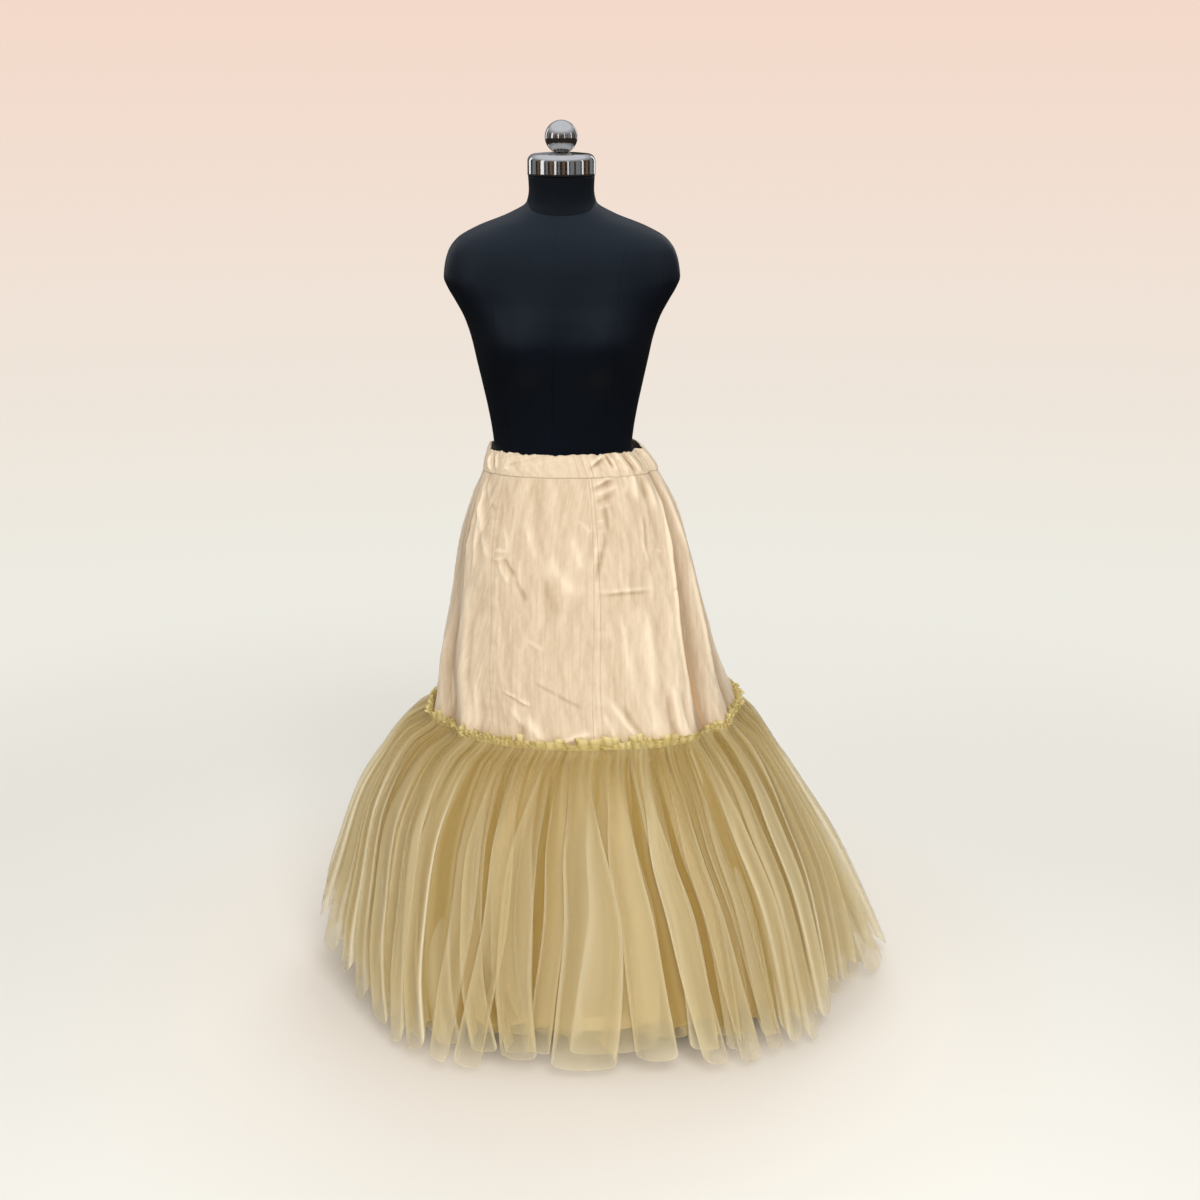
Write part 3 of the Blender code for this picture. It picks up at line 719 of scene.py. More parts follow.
def cotton_finish():
    """Peach-cream plain weave with upright slubs, with stitched seams, painted shade in its troughs and a
    painted highlight on its ridges. The fields are distances in metres from the seam at each side, from a
    felled seam's second row, and the relief, which paints that shade and highlight."""
    recipe = Recipe(bpy.data.materials.new("cotton"))
    cut = recipe.cut_place()
    slub = recipe.noise(recipe.stretched(cut, (190.0, 9.0, 1.0)), 1.0, 3.0, 0.65)
    streak = recipe.noise(recipe.stretched(cut, (38.0, 5.0, 1.0)), 1.0, 2.0, 0.5)
    mottle = recipe.noise(cut, 30.0, 3.0, 0.6)
    across = recipe.part_of(cut, "X")
    down = recipe.part_of(cut, "Y")
    weave = (across * 7000.0).sine() * 0.5 + (down * 7000.0).sine() * 0.5
    seam = recipe.field("from_left").line(0.0009).most(recipe.field("from_right").line(0.0009))
    seam = seam.most(recipe.field("from_fell").line(0.0008)).most(down.line(0.0009))
    seam = seam * (streak * 1.6 + mottle * 0.8 - 0.60).kept(0.15, 1.0)
    row = (recipe.field("from_left") - 0.0035).line(0.0006)
    row = row.most((recipe.field("from_fell") - 0.0022).line(0.0006)).most((down - 0.0030).line(0.0006))
    stitch = row * ((across + down) * 2200.0).sine().above(-0.2)
    relief = recipe.field("relief")
    # painted shade and highlight: the relief darkens the troughs and lightens the ridges, over the cloth's
    # own slub, streak and mottle tone
    light = (slub * 0.55 + streak * 0.35 + mottle * 0.30 - 0.10 + relief * 150.0).kept()
    cloth = recipe.mixed(light, colour(0.43, 0.305, 0.19), colour(0.79, 0.655, 0.485))
    # painted shade: the deepest troughs are tinted dark orange-brown
    painted_trough_shade = (relief * -230.0 - 0.75).kept() * 0.80
    cloth = recipe.mixed(painted_trough_shade, cloth, colour(0.50, 0.30, 0.15))
    cloth = recipe.mixed(seam * 0.62, cloth, colour(0.30, 0.17, 0.09))
    cloth = recipe.mixed(stitch * 0.5, cloth, colour(0.88, 0.72, 0.53))
    height = slub * 0.28 + mottle * 0.24 + streak * 0.16 + weave * 0.02 - seam * 0.35 + stitch * 0.12
    return recipe.done(
        recipe.principled(
            {
                "Base Color": cloth,
                "Roughness": slub * 0.18 + 0.44,
                "Specular IOR Level": 0.14,
                "Sheen Weight": 0.34,
                "Sheen Roughness": 0.4,
                "Sheen Tint": colour(1.0, 0.94, 0.86),
                "Normal": recipe.bump(height),
            }
        )
    )


def lining_finish():
    """Matt golden-beige cotton with a stitched hem."""
    recipe = Recipe(bpy.data.materials.new("lining"))
    cut = recipe.cut_place()
    slub = recipe.noise(recipe.stretched(cut, (90.0, 12.0, 1.0)), 1.0, 2.0, 0.6)
    row = (recipe.field("from_hem") - 0.011).line(0.0011)
    cloth = recipe.mixed(slub, colour(0.59, 0.445, 0.20), colour(0.75, 0.605, 0.33))
    cloth = recipe.mixed(row * 0.6, cloth, colour(0.36, 0.24, 0.10))
    height = slub * 0.35 - row * 0.5
    cloth_shader = recipe.principled({"Base Color": cloth, "Roughness": 0.75, "Normal": recipe.bump(height)})
    return recipe.done(cloth_shader)


def net_finish(name, dark, pale, cover, fold_highlight_colour):
    """Soft net. Light goes through the holes, and the share that the thread stops grows where the net
    is pressed along a fold, at its cut edge and in the streaks of its gathers. In the gaps between panels it
    grows too and the thread is darker, as painted shade, and along fold edges the thread is painted a pale
    highlight colour."""
    recipe = Recipe(bpy.data.materials.new(name))
    cut = recipe.cut_place()
    streak = recipe.field("streak")
    across = recipe.part_of(cut, "X")
    down = recipe.part_of(cut, "Y")
    holes = abs(((across + down) * 2600.0).sine() * ((across - down) * 2600.0).sine())
    fold = recipe.field("fold_edge")
    crest = recipe.field("crest")
    cut_edge = recipe.field("from_hem").line(0.0018)
    # painted shade and highlight: by the field crest the thread is darker in the gaps and paler on the
    # panels
    thread = recipe.mixed(streak * 0.6 + crest * 1.05 - 0.40, dark, pale)
    # painted highlight: fold edges are painted the pale highlight colour
    thread = recipe.mixed(fold * 0.85, thread, fold_highlight_colour)
    stopped = (streak - 0.5) * 0.42 + (0.4 - holes) * 0.12 + fold * 0.50 + cut_edge * 0.34 + cover
    # painted shade: the gaps stop more light, so that they show dark
    stopped = stopped + (0.55 - crest).most(0.0) * 0.70
    cloth = recipe.principled({"Base Color": thread, "Roughness": 0.6, "Specular IOR Level": 0.3})
    through = recipe.node("ShaderNodeBsdfTranslucent", values={"Color": pale})
    lit = recipe.node("ShaderNodeMixShader", values={0: 0.40, 1: cloth, 2: through})
    clear = recipe.node("ShaderNodeBsdfTransparent")
    return recipe.done(recipe.node("ShaderNodeMixShader", values={0: stopped.kept(), 1: clear, 2: lit}))


def covering_finish():
    """Navy-black satin covering of the torso and dull black covering of the neck, with sewn seams. The
    fields are distances in metres from the seams and up from the neck's edge."""
    recipe = Recipe(bpy.data.materials.new("form_covering"))
    place = recipe.place()
    grain = recipe.noise(place, 900.0, 2.0, 0.5)
    cloud = recipe.noise(place, 9.0, 3.0, 0.5)
    centre = recipe.field("from_centre").line(0.0012)
    princess = recipe.field("from_princess").line(0.0012)
    arm = recipe.field("from_arm").line(0.0015)
    side = recipe.field("from_side").line(0.0012)
    rim = recipe.field("from_neck_edge").line(0.0016)
    seam = centre.most(princess).most(arm).most(side).most(rim)
    neck = (recipe.field("from_neck_edge") * 1500.0).kept()
    body = recipe.mixed(cloud, colour(0.0008, 0.0013, 0.0030), colour(0.0020, 0.0032, 0.0068))
    cloth = recipe.mixed(neck, body, colour(0.0012, 0.0014, 0.0022))
    cloth = recipe.mixed(seam * 0.8, cloth, colour(0.0006, 0.0007, 0.0010))
    height = grain * 0.05 - seam * 0.22
    return recipe.done(
        recipe.principled(
            {
                "Base Color": cloth,
                "Roughness": (grain * 0.08 + cloud * 0.06 + 0.41 + neck * 0.30).kept(),
                "Specular IOR Level": 0.52,
                "Specular Tint": colour(0.68, 0.85, 1.0),
                "Normal": recipe.bump(height),
            }
        )
    )


def chrome_finish():
    """Mirror chrome with faint smears and hair scratches round it."""
    recipe = Recipe(bpy.data.materials.new("polished_metal"))
    place = recipe.place()
    smear = recipe.noise(place, 45.0, 3.0, 0.6)
    hairs = recipe.noise(recipe.stretched(place, (30.0, 30.0, 1400.0)), 1.0, 2.0, 0.5)
    metal = recipe.mixed(smear, colour(0.55, 0.54, 0.525), colour(0.68, 0.675, 0.66))
    roughness = (smear * 0.10 + hairs * 0.05 + 0.02).kept()
    height = hairs * 0.012
    values = {"Base Color": metal, "Metallic": 1.0, "Roughness": roughness, "Normal": recipe.bump(height)}
    return recipe.done(recipe.principled(values))


def stand_finish():
    """Satin black paint with fine orange peel and a little dust."""
    recipe = Recipe(bpy.data.materials.new("stand_metal"))
    place = recipe.place()
    peel = recipe.noise(place, 420.0, 2.0, 0.5)
    dust = recipe.noise(place, 30.0, 4.0, 0.65)
    paint = recipe.mixed((dust - 0.45).kept() * 0.5, colour(0.018, 0.018, 0.020), colour(0.11, 0.10, 0.095))
    values = {"Base Color": paint, "Roughness": dust * 0.25 + 0.28, "Normal": recipe.bump(peel * 0.10)}
    return recipe.done(recipe.principled(values))


def floor_finish():
    """Plain pale floor, lit near the skirt, with a painted warm shadow round the skirt, and turning into the
    backdrop's own colour further off.
    """
    recipe = Recipe(bpy.data.materials.new("floor"))
    place = recipe.place()
    across = recipe.part_of(place, "X")
    along = recipe.part_of(place, "Y")
    distance = (across * across + along * along) ** 0.5
    tone = recipe.noise(place, 1.5, 2.0, 0.5)
    paint = recipe.mixed(tone, colour(0.82, 0.81, 0.76), colour(0.85, 0.84, 0.795))
    # painted shadow: a warm tint on the floor round the skirt, strongest at its middle
    paint = recipe.mixed((1.9 - distance * 2.0).kept() * 0.6, paint, colour(0.87, 0.79, 0.71))
    whole = ((FLOOR_REACH - distance) / FLOOR_FADE).kept()
    whole = whole * whole * (3.0 - whole * 2.0)
    lit = recipe.principled({"Base Color": paint, "Roughness": 0.6, "Specular IOR Level": 0.2})
    plain = recipe.node("ShaderNodeEmission", values={"Color": FAR_COLOUR, "Strength": 1.0})
    return recipe.done(recipe.node("ShaderNodeMixShader", values={0: whole, 1: plain, 2: lit}))


# The dress form

# The distance given where no seam is near
AWAY = 0.05

TURNED_COLUMNS = 96
TORSO_COLUMNS = 216
TORSO_ROW_STEP = 0.0042
CENTRE_SEAM_HEIGHTS = (0.64, 0.97, 1.36)
CENTRE_SEAM_REACH = (-0.018, -0.016, -0.008)
PRINCESS_HEIGHTS = (0.64, 0.97, 1.10, 1.17, 1.26, 1.33)
PRINCESS_LEFT = (0.088, 0.086, 0.108, 0.111, 0.112, 0.111)
PRINCESS_RIGHT = (0.080, 0.064, 0.084, 0.090, 0.096, 0.111)
ARM_SEAM_HEIGHTS = (1.160, 1.190, 1.250, 1.320)
ARM_SEAM_REACH = (0.1600, 0.1530, 0.1660, 0.1710)
NECK_EDGE_FRONT = 1.3573
NECK_EDGE_SIDE = 1.3790
NECK_EDGE_BACK = 1.3740


def torso(finish):
    """The torso on its level sections, with seams: y moves forward by the bust's rise times a bell curve
    up and a bell curve across. Flat ends close it."""
    degrees = np.arange(TORSO_COLUMNS) * 360.0 / TORSO_COLUMNS
    angle = np.radians(degrees)[None, :]
    steps = int(round((NECK_TOP_HEIGHT - TORSO_FOOT_HEIGHT) / TORSO_ROW_STEP))
    height = np.linspace(TORSO_FOOT_HEIGHT, NECK_TOP_HEIGHT, steps + 1)[:, None]
    names = ("half_width", "half_width", "front", "back", "squareness")
    x, y, out_x, out_y = section(angle, *(column(FORM_RINGS, name, height) for name in names))
    up = np.exp(-(((height - BUST_HEIGHT) / BUST_SPREAD_UP) ** 2))
    across = np.exp(-(((np.abs(x) - BUST_APART) / BUST_SPREAD_ACROSS) ** 2))
    y = y - BUST_RISE * up * across * np.clip(np.cos(angle), 0.0, 1.0)
    ahead = np.cos(angle) > 0
    princess = np.where(
        x < 0,
        smooth_between(PRINCESS_HEIGHTS, PRINCESS_LEFT, height),
        smooth_between(PRINCESS_HEIGHTS, PRINCESS_RIGHT, height),
    )
    centre = x - smooth_between(CENTRE_SEAM_HEIGHTS, CENTRE_SEAM_REACH, height)
    arm = np.abs(x) - smooth_between(ARM_SEAM_HEIGHTS, ARM_SEAM_REACH, height)
    arm = np.where((height > 1.165) & (height < 1.345), arm, AWAY)
    edge = np.where(ahead, NECK_EDGE_FRONT, NECK_EDGE_BACK)
    edge = NECK_EDGE_SIDE + (edge - NECK_EDGE_SIDE) * np.abs(np.cos(angle)) ** 1.5
    neck = height - edge
    on_body = neck < 0.001
    fields = {
        "from_centre": np.where(on_body, centre, AWAY),
        "from_princess": np.where(on_body, np.abs(x) - princess, AWAY),
        "from_arm": arm,
        "from_side": np.where(on_body & (np.abs(x) > 0.05), y - 0.004, AWAY),
        "from_neck_edge": neck,
    }
    points = np.stack([x, y, np.broadcast_to(height, x.shape)], axis=-1)
    ends = (0.0, 0.6, 0.97)
    foot = [points[:1] * (share, share, 1.0) for share in ends]
    top = [points[-1:] * (share, share, 1.0) for share in reversed(ends)]
    points = np.concatenate(foot + [points] + top)
    padded = {
        name: np.concatenate([values[:1]] * len(ends) + [values] + [values[-1:]] * len(ends))
        for name, values in fields.items()
    }
    obj = surface("torso_covering", points, finish, around=True, fields=padded, closed=True)
    finish_piece(obj, "form_torso")


def arc(centre_x, centre_z, radius, start, end, steps):
    """Points of an arc in the plane of radius and height, between two angles in degrees."""
    turn = np.radians(np.linspace(start, end, steps + 1))
    return np.stack([centre_x + radius * np.cos(turn), centre_z + radius * np.sin(turn)], axis=-1)


def turned(name, profile, finish, solid):
    """A profile of (radius, height) points from the bottom up its outer side, turned round the pole."""
    profile = np.concatenate([np.atleast_2d(part) for part in profile])
    turn = np.arange(TURNED_COLUMNS) * 2 * math.pi / TURNED_COLUMNS
    radius = profile[:, :1]
    height = np.broadcast_to(profile[:, 1:], (len(profile), TURNED_COLUMNS))
    points = np.stack([radius * np.sin(turn), -radius * np.cos(turn), height], axis=-1)
    obj = surface(name, points, finish, around=True, closed=True)
    obj.data.set_sharp_from_angle(angle=math.radians(40))
    finish_piece(obj, solid)


def fittings(chrome, paint):
    """Cap, ball, pole and base, each on its solid's profile with rounder arcs."""
    foot = NECK_TOP_HEIGHT + GAP
    shoulder = foot + CAP_SIDE
    dome_reach = np.linspace(CAP_RADIUS - CAP_EDGE, 0.0, 16)
    inner = CAP_RADIUS - CAP_EDGE
    dome = shoulder + CAP_EDGE + CAP_DOME * (1 - (dome_reach / inner) ** 2)
    profile = [(0.0, foot), (CAP_RADIUS - CAP_LIP, foot)]
    profile += [arc(CAP_RADIUS - CAP_LIP, foot + CAP_LIP, CAP_LIP, -80.0, 0.0, 4)]
    profile += [np.stack([np.full(4, CAP_RADIUS), np.linspace(foot + 0.004, shoulder - 0.003, 4)], axis=-1)]
    profile += [arc(inner, shoulder, CAP_EDGE, 0.0, 84.0, 10), np.stack([dome_reach, dome], axis=-1)]
    turned("neck_cap_chrome", profile, chrome, "form_neck_cap")
    seat = NECK_TOP_HEIGHT + 2 * GAP + CAP_SIDE + CAP_EDGE + CAP_DOME
    throat = -math.degrees(math.acos(STEM_RADIUS / BALL_RADIUS))
    profile = [(0.0, seat), (STEM_RADIUS, seat), arc(0.0, BALL_HEIGHT, BALL_RADIUS, throat, 90.0, 40)]
    turned("finial_ball_chrome", profile, chrome, "form_finial_ball")
    dome_top = BASE_RIM + BASE_DOME
    reach = np.linspace(0.98, 0.12, 26)
    swell = BASE_RIM + BASE_DOME * np.clip(1 - reach**2.2, 0, 1)
    profile = [(0.0, 0.0), (BASE_RADIUS - 0.002, 0.0)]
    profile += [arc(BASE_RADIUS - 0.0035, 0.0045, 0.0035, -60.0, 60.0, 8)]
    profile += [np.stack([BASE_RADIUS * reach, np.minimum(swell, dome_top)], axis=-1), (0.0, dome_top)]
    turned("base_plate", profile, paint, "form_base")
    low, high = dome_top + GAP, TORSO_FOOT_HEIGHT - GAP
    profile = [(0.0, low), (POLE_RADIUS * 1.35, low), (POLE_RADIUS * 1.35, low + 0.014)]
    profile += [(POLE_RADIUS * 1.1, low + 0.018), (POLE_RADIUS, low + 0.020)]
    profile += [np.stack([np.full(8, POLE_RADIUS), np.linspace(low + 0.06, high, 8)], axis=-1), (0.0, high)]
    turned("pole_tube", profile, paint, "form_pole")


# The cotton

GORE_ROWS = 172
FRONT_GORE_COLUMNS = 96
BACK_GORE_COLUMNS = 72
PUCKER_DEPTH = 0.00075
PUCKER_REACH = 0.009
RIPPLE_DEPTH = 0.0010
CRUMPLE_DEPTH = 0.00062
FINE_CRUMPLE_DEPTH = 0.00024
COTTON_STANDS_OUT = 0.0004
FELLED_GORES = (0, 2, 4)
FELL_WIDTH = 0.005
FELL_WIDENS = 0.011
FELL_DEPTH = 0.0007
GORES_APART = 0.7
SLOPE = 1.04
CREASE_BOLDNESS = 1.85
CASING_PULL_DEPTH = 0.055


def gather_depth(degrees):
    return np.interp(turn_between(degrees, 0.0), GATHER_ANGLES, GATHER_DEPTHS)


def casing_gathers(degrees):
    """Uneven gathers round the casing, -1 to 1: the solid's own gathers under finer ones."""
    fine = np.linspace(-180.0, 540.0, 7201)
    turn = np.radians(fine)
    grown = turn + UNEVEN_GATHERS * (np.sin(3 * turn + 0.6) - np.sin(0.6)) / 3
    grown += UNEVEN_GATHERS * (np.sin(7 * turn + 1.2) - np.sin(1.2)) / 7
    place = np.interp(degrees, fine, grown * CASING_GATHERS / (2 * math.pi))
    coarse = np.cos(2 * math.pi * place) * (0.7 + 0.3 * wander(place, 11, CASING_GATHERS))
    fine_ones = wander(place * 3.0, 12, 3 * CASING_GATHERS) * 0.55
    fine_ones = fine_ones + wander(place * 5.0, 13, 5 * CASING_GATHERS) * 0.3
    return 0.6 * coarse + fine_ones


def cotton_relief(degrees, height, from_left, from_right, seams):
    """How far the cotton stands out past its solid's surface: creases, gathers that run out below the
    casing, puckers along the seams, and a crumple of upright waves that dies out at them. It is the same
    on both sides of a seam, whose puckers are those of its number."""
    drop = np.clip(CASING_SEAM_HEIGHT - height, 0.0, 1.0)
    relief = crease_relief(degrees, height, FRONT_CREASES) + crease_relief(degrees, height, HIDDEN_CREASES)
    relief *= CREASE_BOLDNESS
    run_out = np.exp(-drop / (CASING_PULL_DEPTH * (1.0 + 0.5 * wander(degrees / 9.0, 21, 40))))
    grown = 0.35 + 0.45 * (1.0 - np.exp(-drop / 0.010))
    relief += gather_depth(degrees) * grown * casing_gathers(degrees) * run_out
    for distance, seam in zip((from_left, from_right), seams):
        near = np.exp(-np.clip(distance, 0.0, 1.0) / PUCKER_REACH)
        puckers = wander(height / 0.011, 300 + seam) + 0.6 * wander(height / 0.006, 320 + seam)
        relief += PUCKER_DEPTH * near * puckers
    low = np.exp(-np.clip(height - SEAM_HEIGHT, 0.0, 1.0) / 0.030)
    relief += RIPPLE_DEPTH * low * wander(degrees / 2.5, 41, 144)
    relief += 0.6 * RIPPLE_DEPTH * low * wander(degrees / 1.25, 42, 288)
    x = (from_left - from_right) / 2 + 0.9 * seams[0]
    inside = np.clip(np.minimum(np.minimum(from_left, from_right), drop) / 0.007, 0.0, 1.0)
    relief += CRUMPLE_DEPTH * inside * crumple(x, height, 51, 22, 0.014, 0.060, 4.0)
    relief += FINE_CRUMPLE_DEPTH * inside * crumple(x, height, 52, 18, 0.006, 0.018, 2.6)
    return relief


def gore(place, finish):
    """One gore between two seams, from the flounce seam up to the casing."""
    seam = GORE_SEAMS[place]
    after = GORE_SEAMS[(place + 1) % len(GORE_SEAMS)]
    turn_round = 360.0 if place == len(GORE_SEAMS) - 1 else 0.0
    columns = FRONT_GORE_COLUMNS if place in (0, 1) else BACK_GORE_COLUMNS
    across = np.linspace(0.0, 1.0, columns + 1)[None, :]
    share = np.linspace(1.0, 0.0, GORE_ROWS + 1)[:, None]
    height = CASING_SEAM_HEIGHT + (SEAM_HEIGHT - CASING_SEAM_HEIGHT) * share
    start = seam.top + (seam.bottom - seam.top) * share
    end = after.top + (after.bottom - after.top) * share + turn_round
    degrees = start + (end - start) * across
    height = np.broadcast_to(height, degrees.shape)
    plain = skirt_points(degrees, height, 0.0)
    width = lengths_along(plain, 1)
    from_left = width
    from_right = width[:, -1:] - width
    felled = place in FELLED_GORES
    fell_width = FELL_WIDTH + FELL_WIDENS * share
    from_fell = from_right - fell_width if felled else np.full_like(width, AWAY)
    seams = (place, (place + 1) % len(GORE_SEAMS))
    relief = cotton_relief(degrees, height, from_left, from_right, seams)
    if felled:
        doubled = np.clip((fell_width - from_right) / 0.002, 0.0, 1.0)
        relief = relief + FELL_DEPTH * doubled * np.clip(from_right / 0.0005, 0.0, 1.0)
    points = skirt_points(degrees, height, relief + COTTON_STANDS_OUT)
    # painted shade: the field relief carries the creases and a share of the large folds, which the finish
    # turns into darker troughs and lighter ridges
    shade = relief + 0.35 * fold_relief(degrees, gore_share(height))
    drop = np.broadcast_to(CASING_SEAM_HEIGHT - height, degrees.shape) * SLOPE
    flat = np.stack([width + place * GORES_APART, drop], axis=-1)
    fields = {"from_left": from_left, "from_right": from_right, "from_fell": from_fell, "relief": shade}
    obj = surface(seam.gore + "_cloth", points, finish, flat=flat, fields=fields)
    finish_piece(obj, seam.gore)


CASING_COLUMNS = 760
CASING_GATHERS = 28
CASING_CREASE_BOLDNESS = 1.6
CASING_ROLL_START = 0.93
CASING_PUFF = 0.0030
CASING_LAP = 0.0006
CASING_INNER = -0.0013
BAND_JOIN_TURN = 9.0


def casing(finish):
    """The drawstring casing, a flattened tube of cotton: up its outer side, rolled over its top edge and
    down its inner side. The outer side swells over the cord and is gathered, deeper towards the top."""
    degrees = (np.arange(CASING_COLUMNS) * 360.0 / CASING_COLUMNS)[None, :]
    foot = CASING_SEAM_HEIGHT - CASING_LAP
    rise = CASING_TOP_HEIGHT - foot
    up = np.linspace(0.0, CASING_ROLL_START, 17)
    roll = np.radians(np.linspace(0.0, 180.0, 9))[1:-1]
    down = np.linspace(CASING_ROLL_START, 0.0, 6)
    over = CASING_ROLL_START + (1.0 - CASING_ROLL_START) * np.sin(roll)
    level = np.concatenate([up, over, down])[:, None]
    outer = np.concatenate([np.ones(len(up)), 0.5 + 0.5 * np.cos(roll), np.zeros(len(down))])[:, None]
    swell = CASING_PUFF * np.sin(math.pi * np.clip(level, 0.0, 1.0) ** 0.8) ** 0.8
    edge = 1.0 + 0.055 * wander(degrees / 5.5, 61, 65) + 0.035 * wander(degrees / 2.4, 62, 150)
    height = foot + rise * level * (1 + (edge - 1) * level)
    deep = gather_depth(degrees) * (0.35 + 0.65 * level)
    relief = deep * casing_gathers(degrees) * outer
    relief = relief + CASING_CREASE_BOLDNESS * crease_relief(degrees, height, CASING_CREASES) * outer
    relief = relief + 0.0003 * crumple(np.radians(degrees) * 0.14, height, 63, 12, 0.005, 0.018, 1.5) * outer
    out = CASING_INNER + (swell + 0.0016 - CASING_INNER) * outer + relief
    points = skirt_points(np.broadcast_to(degrees, height.shape), height, out)
    girth = np.concatenate([lengths_along(points, 1), np.full((len(points), 1), 1.0)], axis=1)
    girth[:, -1] = girth[:, -2] + (girth[:, -2] / (CASING_COLUMNS - 1))
    climb = lengths_along(points, 0)
    climb = np.concatenate([climb, climb[:, :1]], axis=1)
    flat = np.stack([girth, climb], axis=-1)
    join = np.radians(turn_between(degrees, BAND_JOIN_TURN)) * 0.115
    fields = {
        "from_left": np.broadcast_to(join, height.shape),
        "from_right": np.full(height.shape, AWAY),
        "from_fell": np.broadcast_to(np.abs(join) - 0.0085, height.shape),
        # painted shade and highlight: the finish darkens the cotton where the gathers sink and lightens it
        # where they stand out
        "relief": relief + 0.001,
    }
    obj = surface("casing_cloth", points, finish, around=True, flat=flat, fields=fields)
    finish_piece(obj, "waistband")


# The flounce

LINING_ROWS = 46
LINING_THICKNESS = 0.0007
FLOUNCE_TOP = SEAM_HEIGHT - CROSS_SEAM_GAP
OPENS_WITHIN = 0.05
PANELS_WITHIN = 0.40
HEM_TURN_SHARE = 0.965
HEM_TURN_DEPTH = 0.0011

# The net's unevenness. In shares of a fold: how its width varies, and how far it drifts at the hem and
# sways between. In metres: steps, nicks and slants of the hem, and relief of second folds, crinkles and
# gathers.
NET_CROWDS = 0.17
NET_DRIFTS = 0.55
NET_SWAYS = 0.38
HEM_STEP = 0.007
HEM_NICK = 0.003
HEM_SLANT = 0.010
SECOND_FOLD_DEPTH = 0.0034
CRINKLE_DEPTH = 0.0006
NET_GATHER_DEPTH = 0.0036
NET_ROWS = 50


def hem_height(degrees, layer, place, petals, chance):
    """The hem's height: lifted on the left, lower at a fold's crest, and uneven from fold to fold."""
    lift = HEM_LIFT_LEFT * np.exp(-((turn_between(degrees, HEM_LIFT_ANGLE) / HEM_LIFT_WIDTH) ** 2))
    petal = (0.5 - 0.5 * np.cos(2 * math.pi * petals)) ** 1.1
    uneven = HEM_UNEVEN * (1 - uneven_along(place, layer.folds, 0.0, chance))
    return layer.hem + lift + layer.scallop * petal + uneven


def drop_shares(rows, gathered):
    """Shares of the drop from hem to seam, closer together near the seam by the gathered power."""
    return (np.linspace(1.0, 0.0, rows + 1) ** gathered)[:, None]


def fold_places(folds, points_each):
    """A place for each column of points, counted in folds."""
    return (np.arange(folds * points_each) / points_each)[None, :]


def hang(layer, share):
    """How open a layer is at a share of its drop, how far its folds swing and how far out its middle
    lies. All three grow downwards from the seam."""
    opened = np.clip(share / OPENS_WITHIN, 0.0, 1.0)
    swing = layer.swing * opened * (0.3 + 0.7 * share)
    out = layer.seam + (layer.middle - layer.seam) * opened * (0.35 + 0.65 * share)
    return opened, swing, out


def lining(finish):
    """The opaque lining, in soft folds, with a double-turned hem that stands out a little."""
    layer = LINING
    place = fold_places(layer.folds, layer.points_each)
    degrees = gathered_angles(layer.folds, place, UNEVEN_FOLDS, layer.phase)
    chance = np.random.default_rng(layer.chance)
    uneven = uneven_along(place, layer.folds, LEAST_SWING, chance)
    hem = hem_height(degrees, layer, place, place, chance)
    share = drop_shares(LINING_ROWS, 1.25)
    height = FLOUNCE_TOP + (hem - FLOUNCE_TOP) * share
    opened, swing, out = hang(layer, share)
    wave = swing * uneven * np.cos(2 * math.pi * place)
    wave = wave + 0.0016 * opened * wander(place * 4.0, layer.seed, 4 * layer.folds) * (1 - 0.6 * share)
    turned_up = np.clip((share - HEM_TURN_SHARE) / 0.012, 0.0, 1.0) * HEM_TURN_DEPTH
    points = skirt_points(np.broadcast_to(degrees, height.shape), height, out + wave + turned_up)
    fields = {"from_hem": (1 - share) * (FLOUNCE_TOP - hem)}
    obj = surface(layer.name, points, finish, around=True, flat=cloth_places(points), fields=fields)
    wall(obj, LINING_THICKNESS)
    finish_piece(obj, layer.solid)


def cloth_places(points):
    """Places on the cut cloth for a ring of columns: walked length at the hem by walked length down."""
    hem = lengths_along(points[:1], 1)[0]
    hem = np.append(hem, hem[-1] + np.linalg.norm(points[0, 0] - points[0, -1]))
    down = lengths_along(points[::-1], 0)[::-1].mean(axis=1)
    return np.stack(np.broadcast_arrays(hem[None, :], down[:, None]), axis=-1)


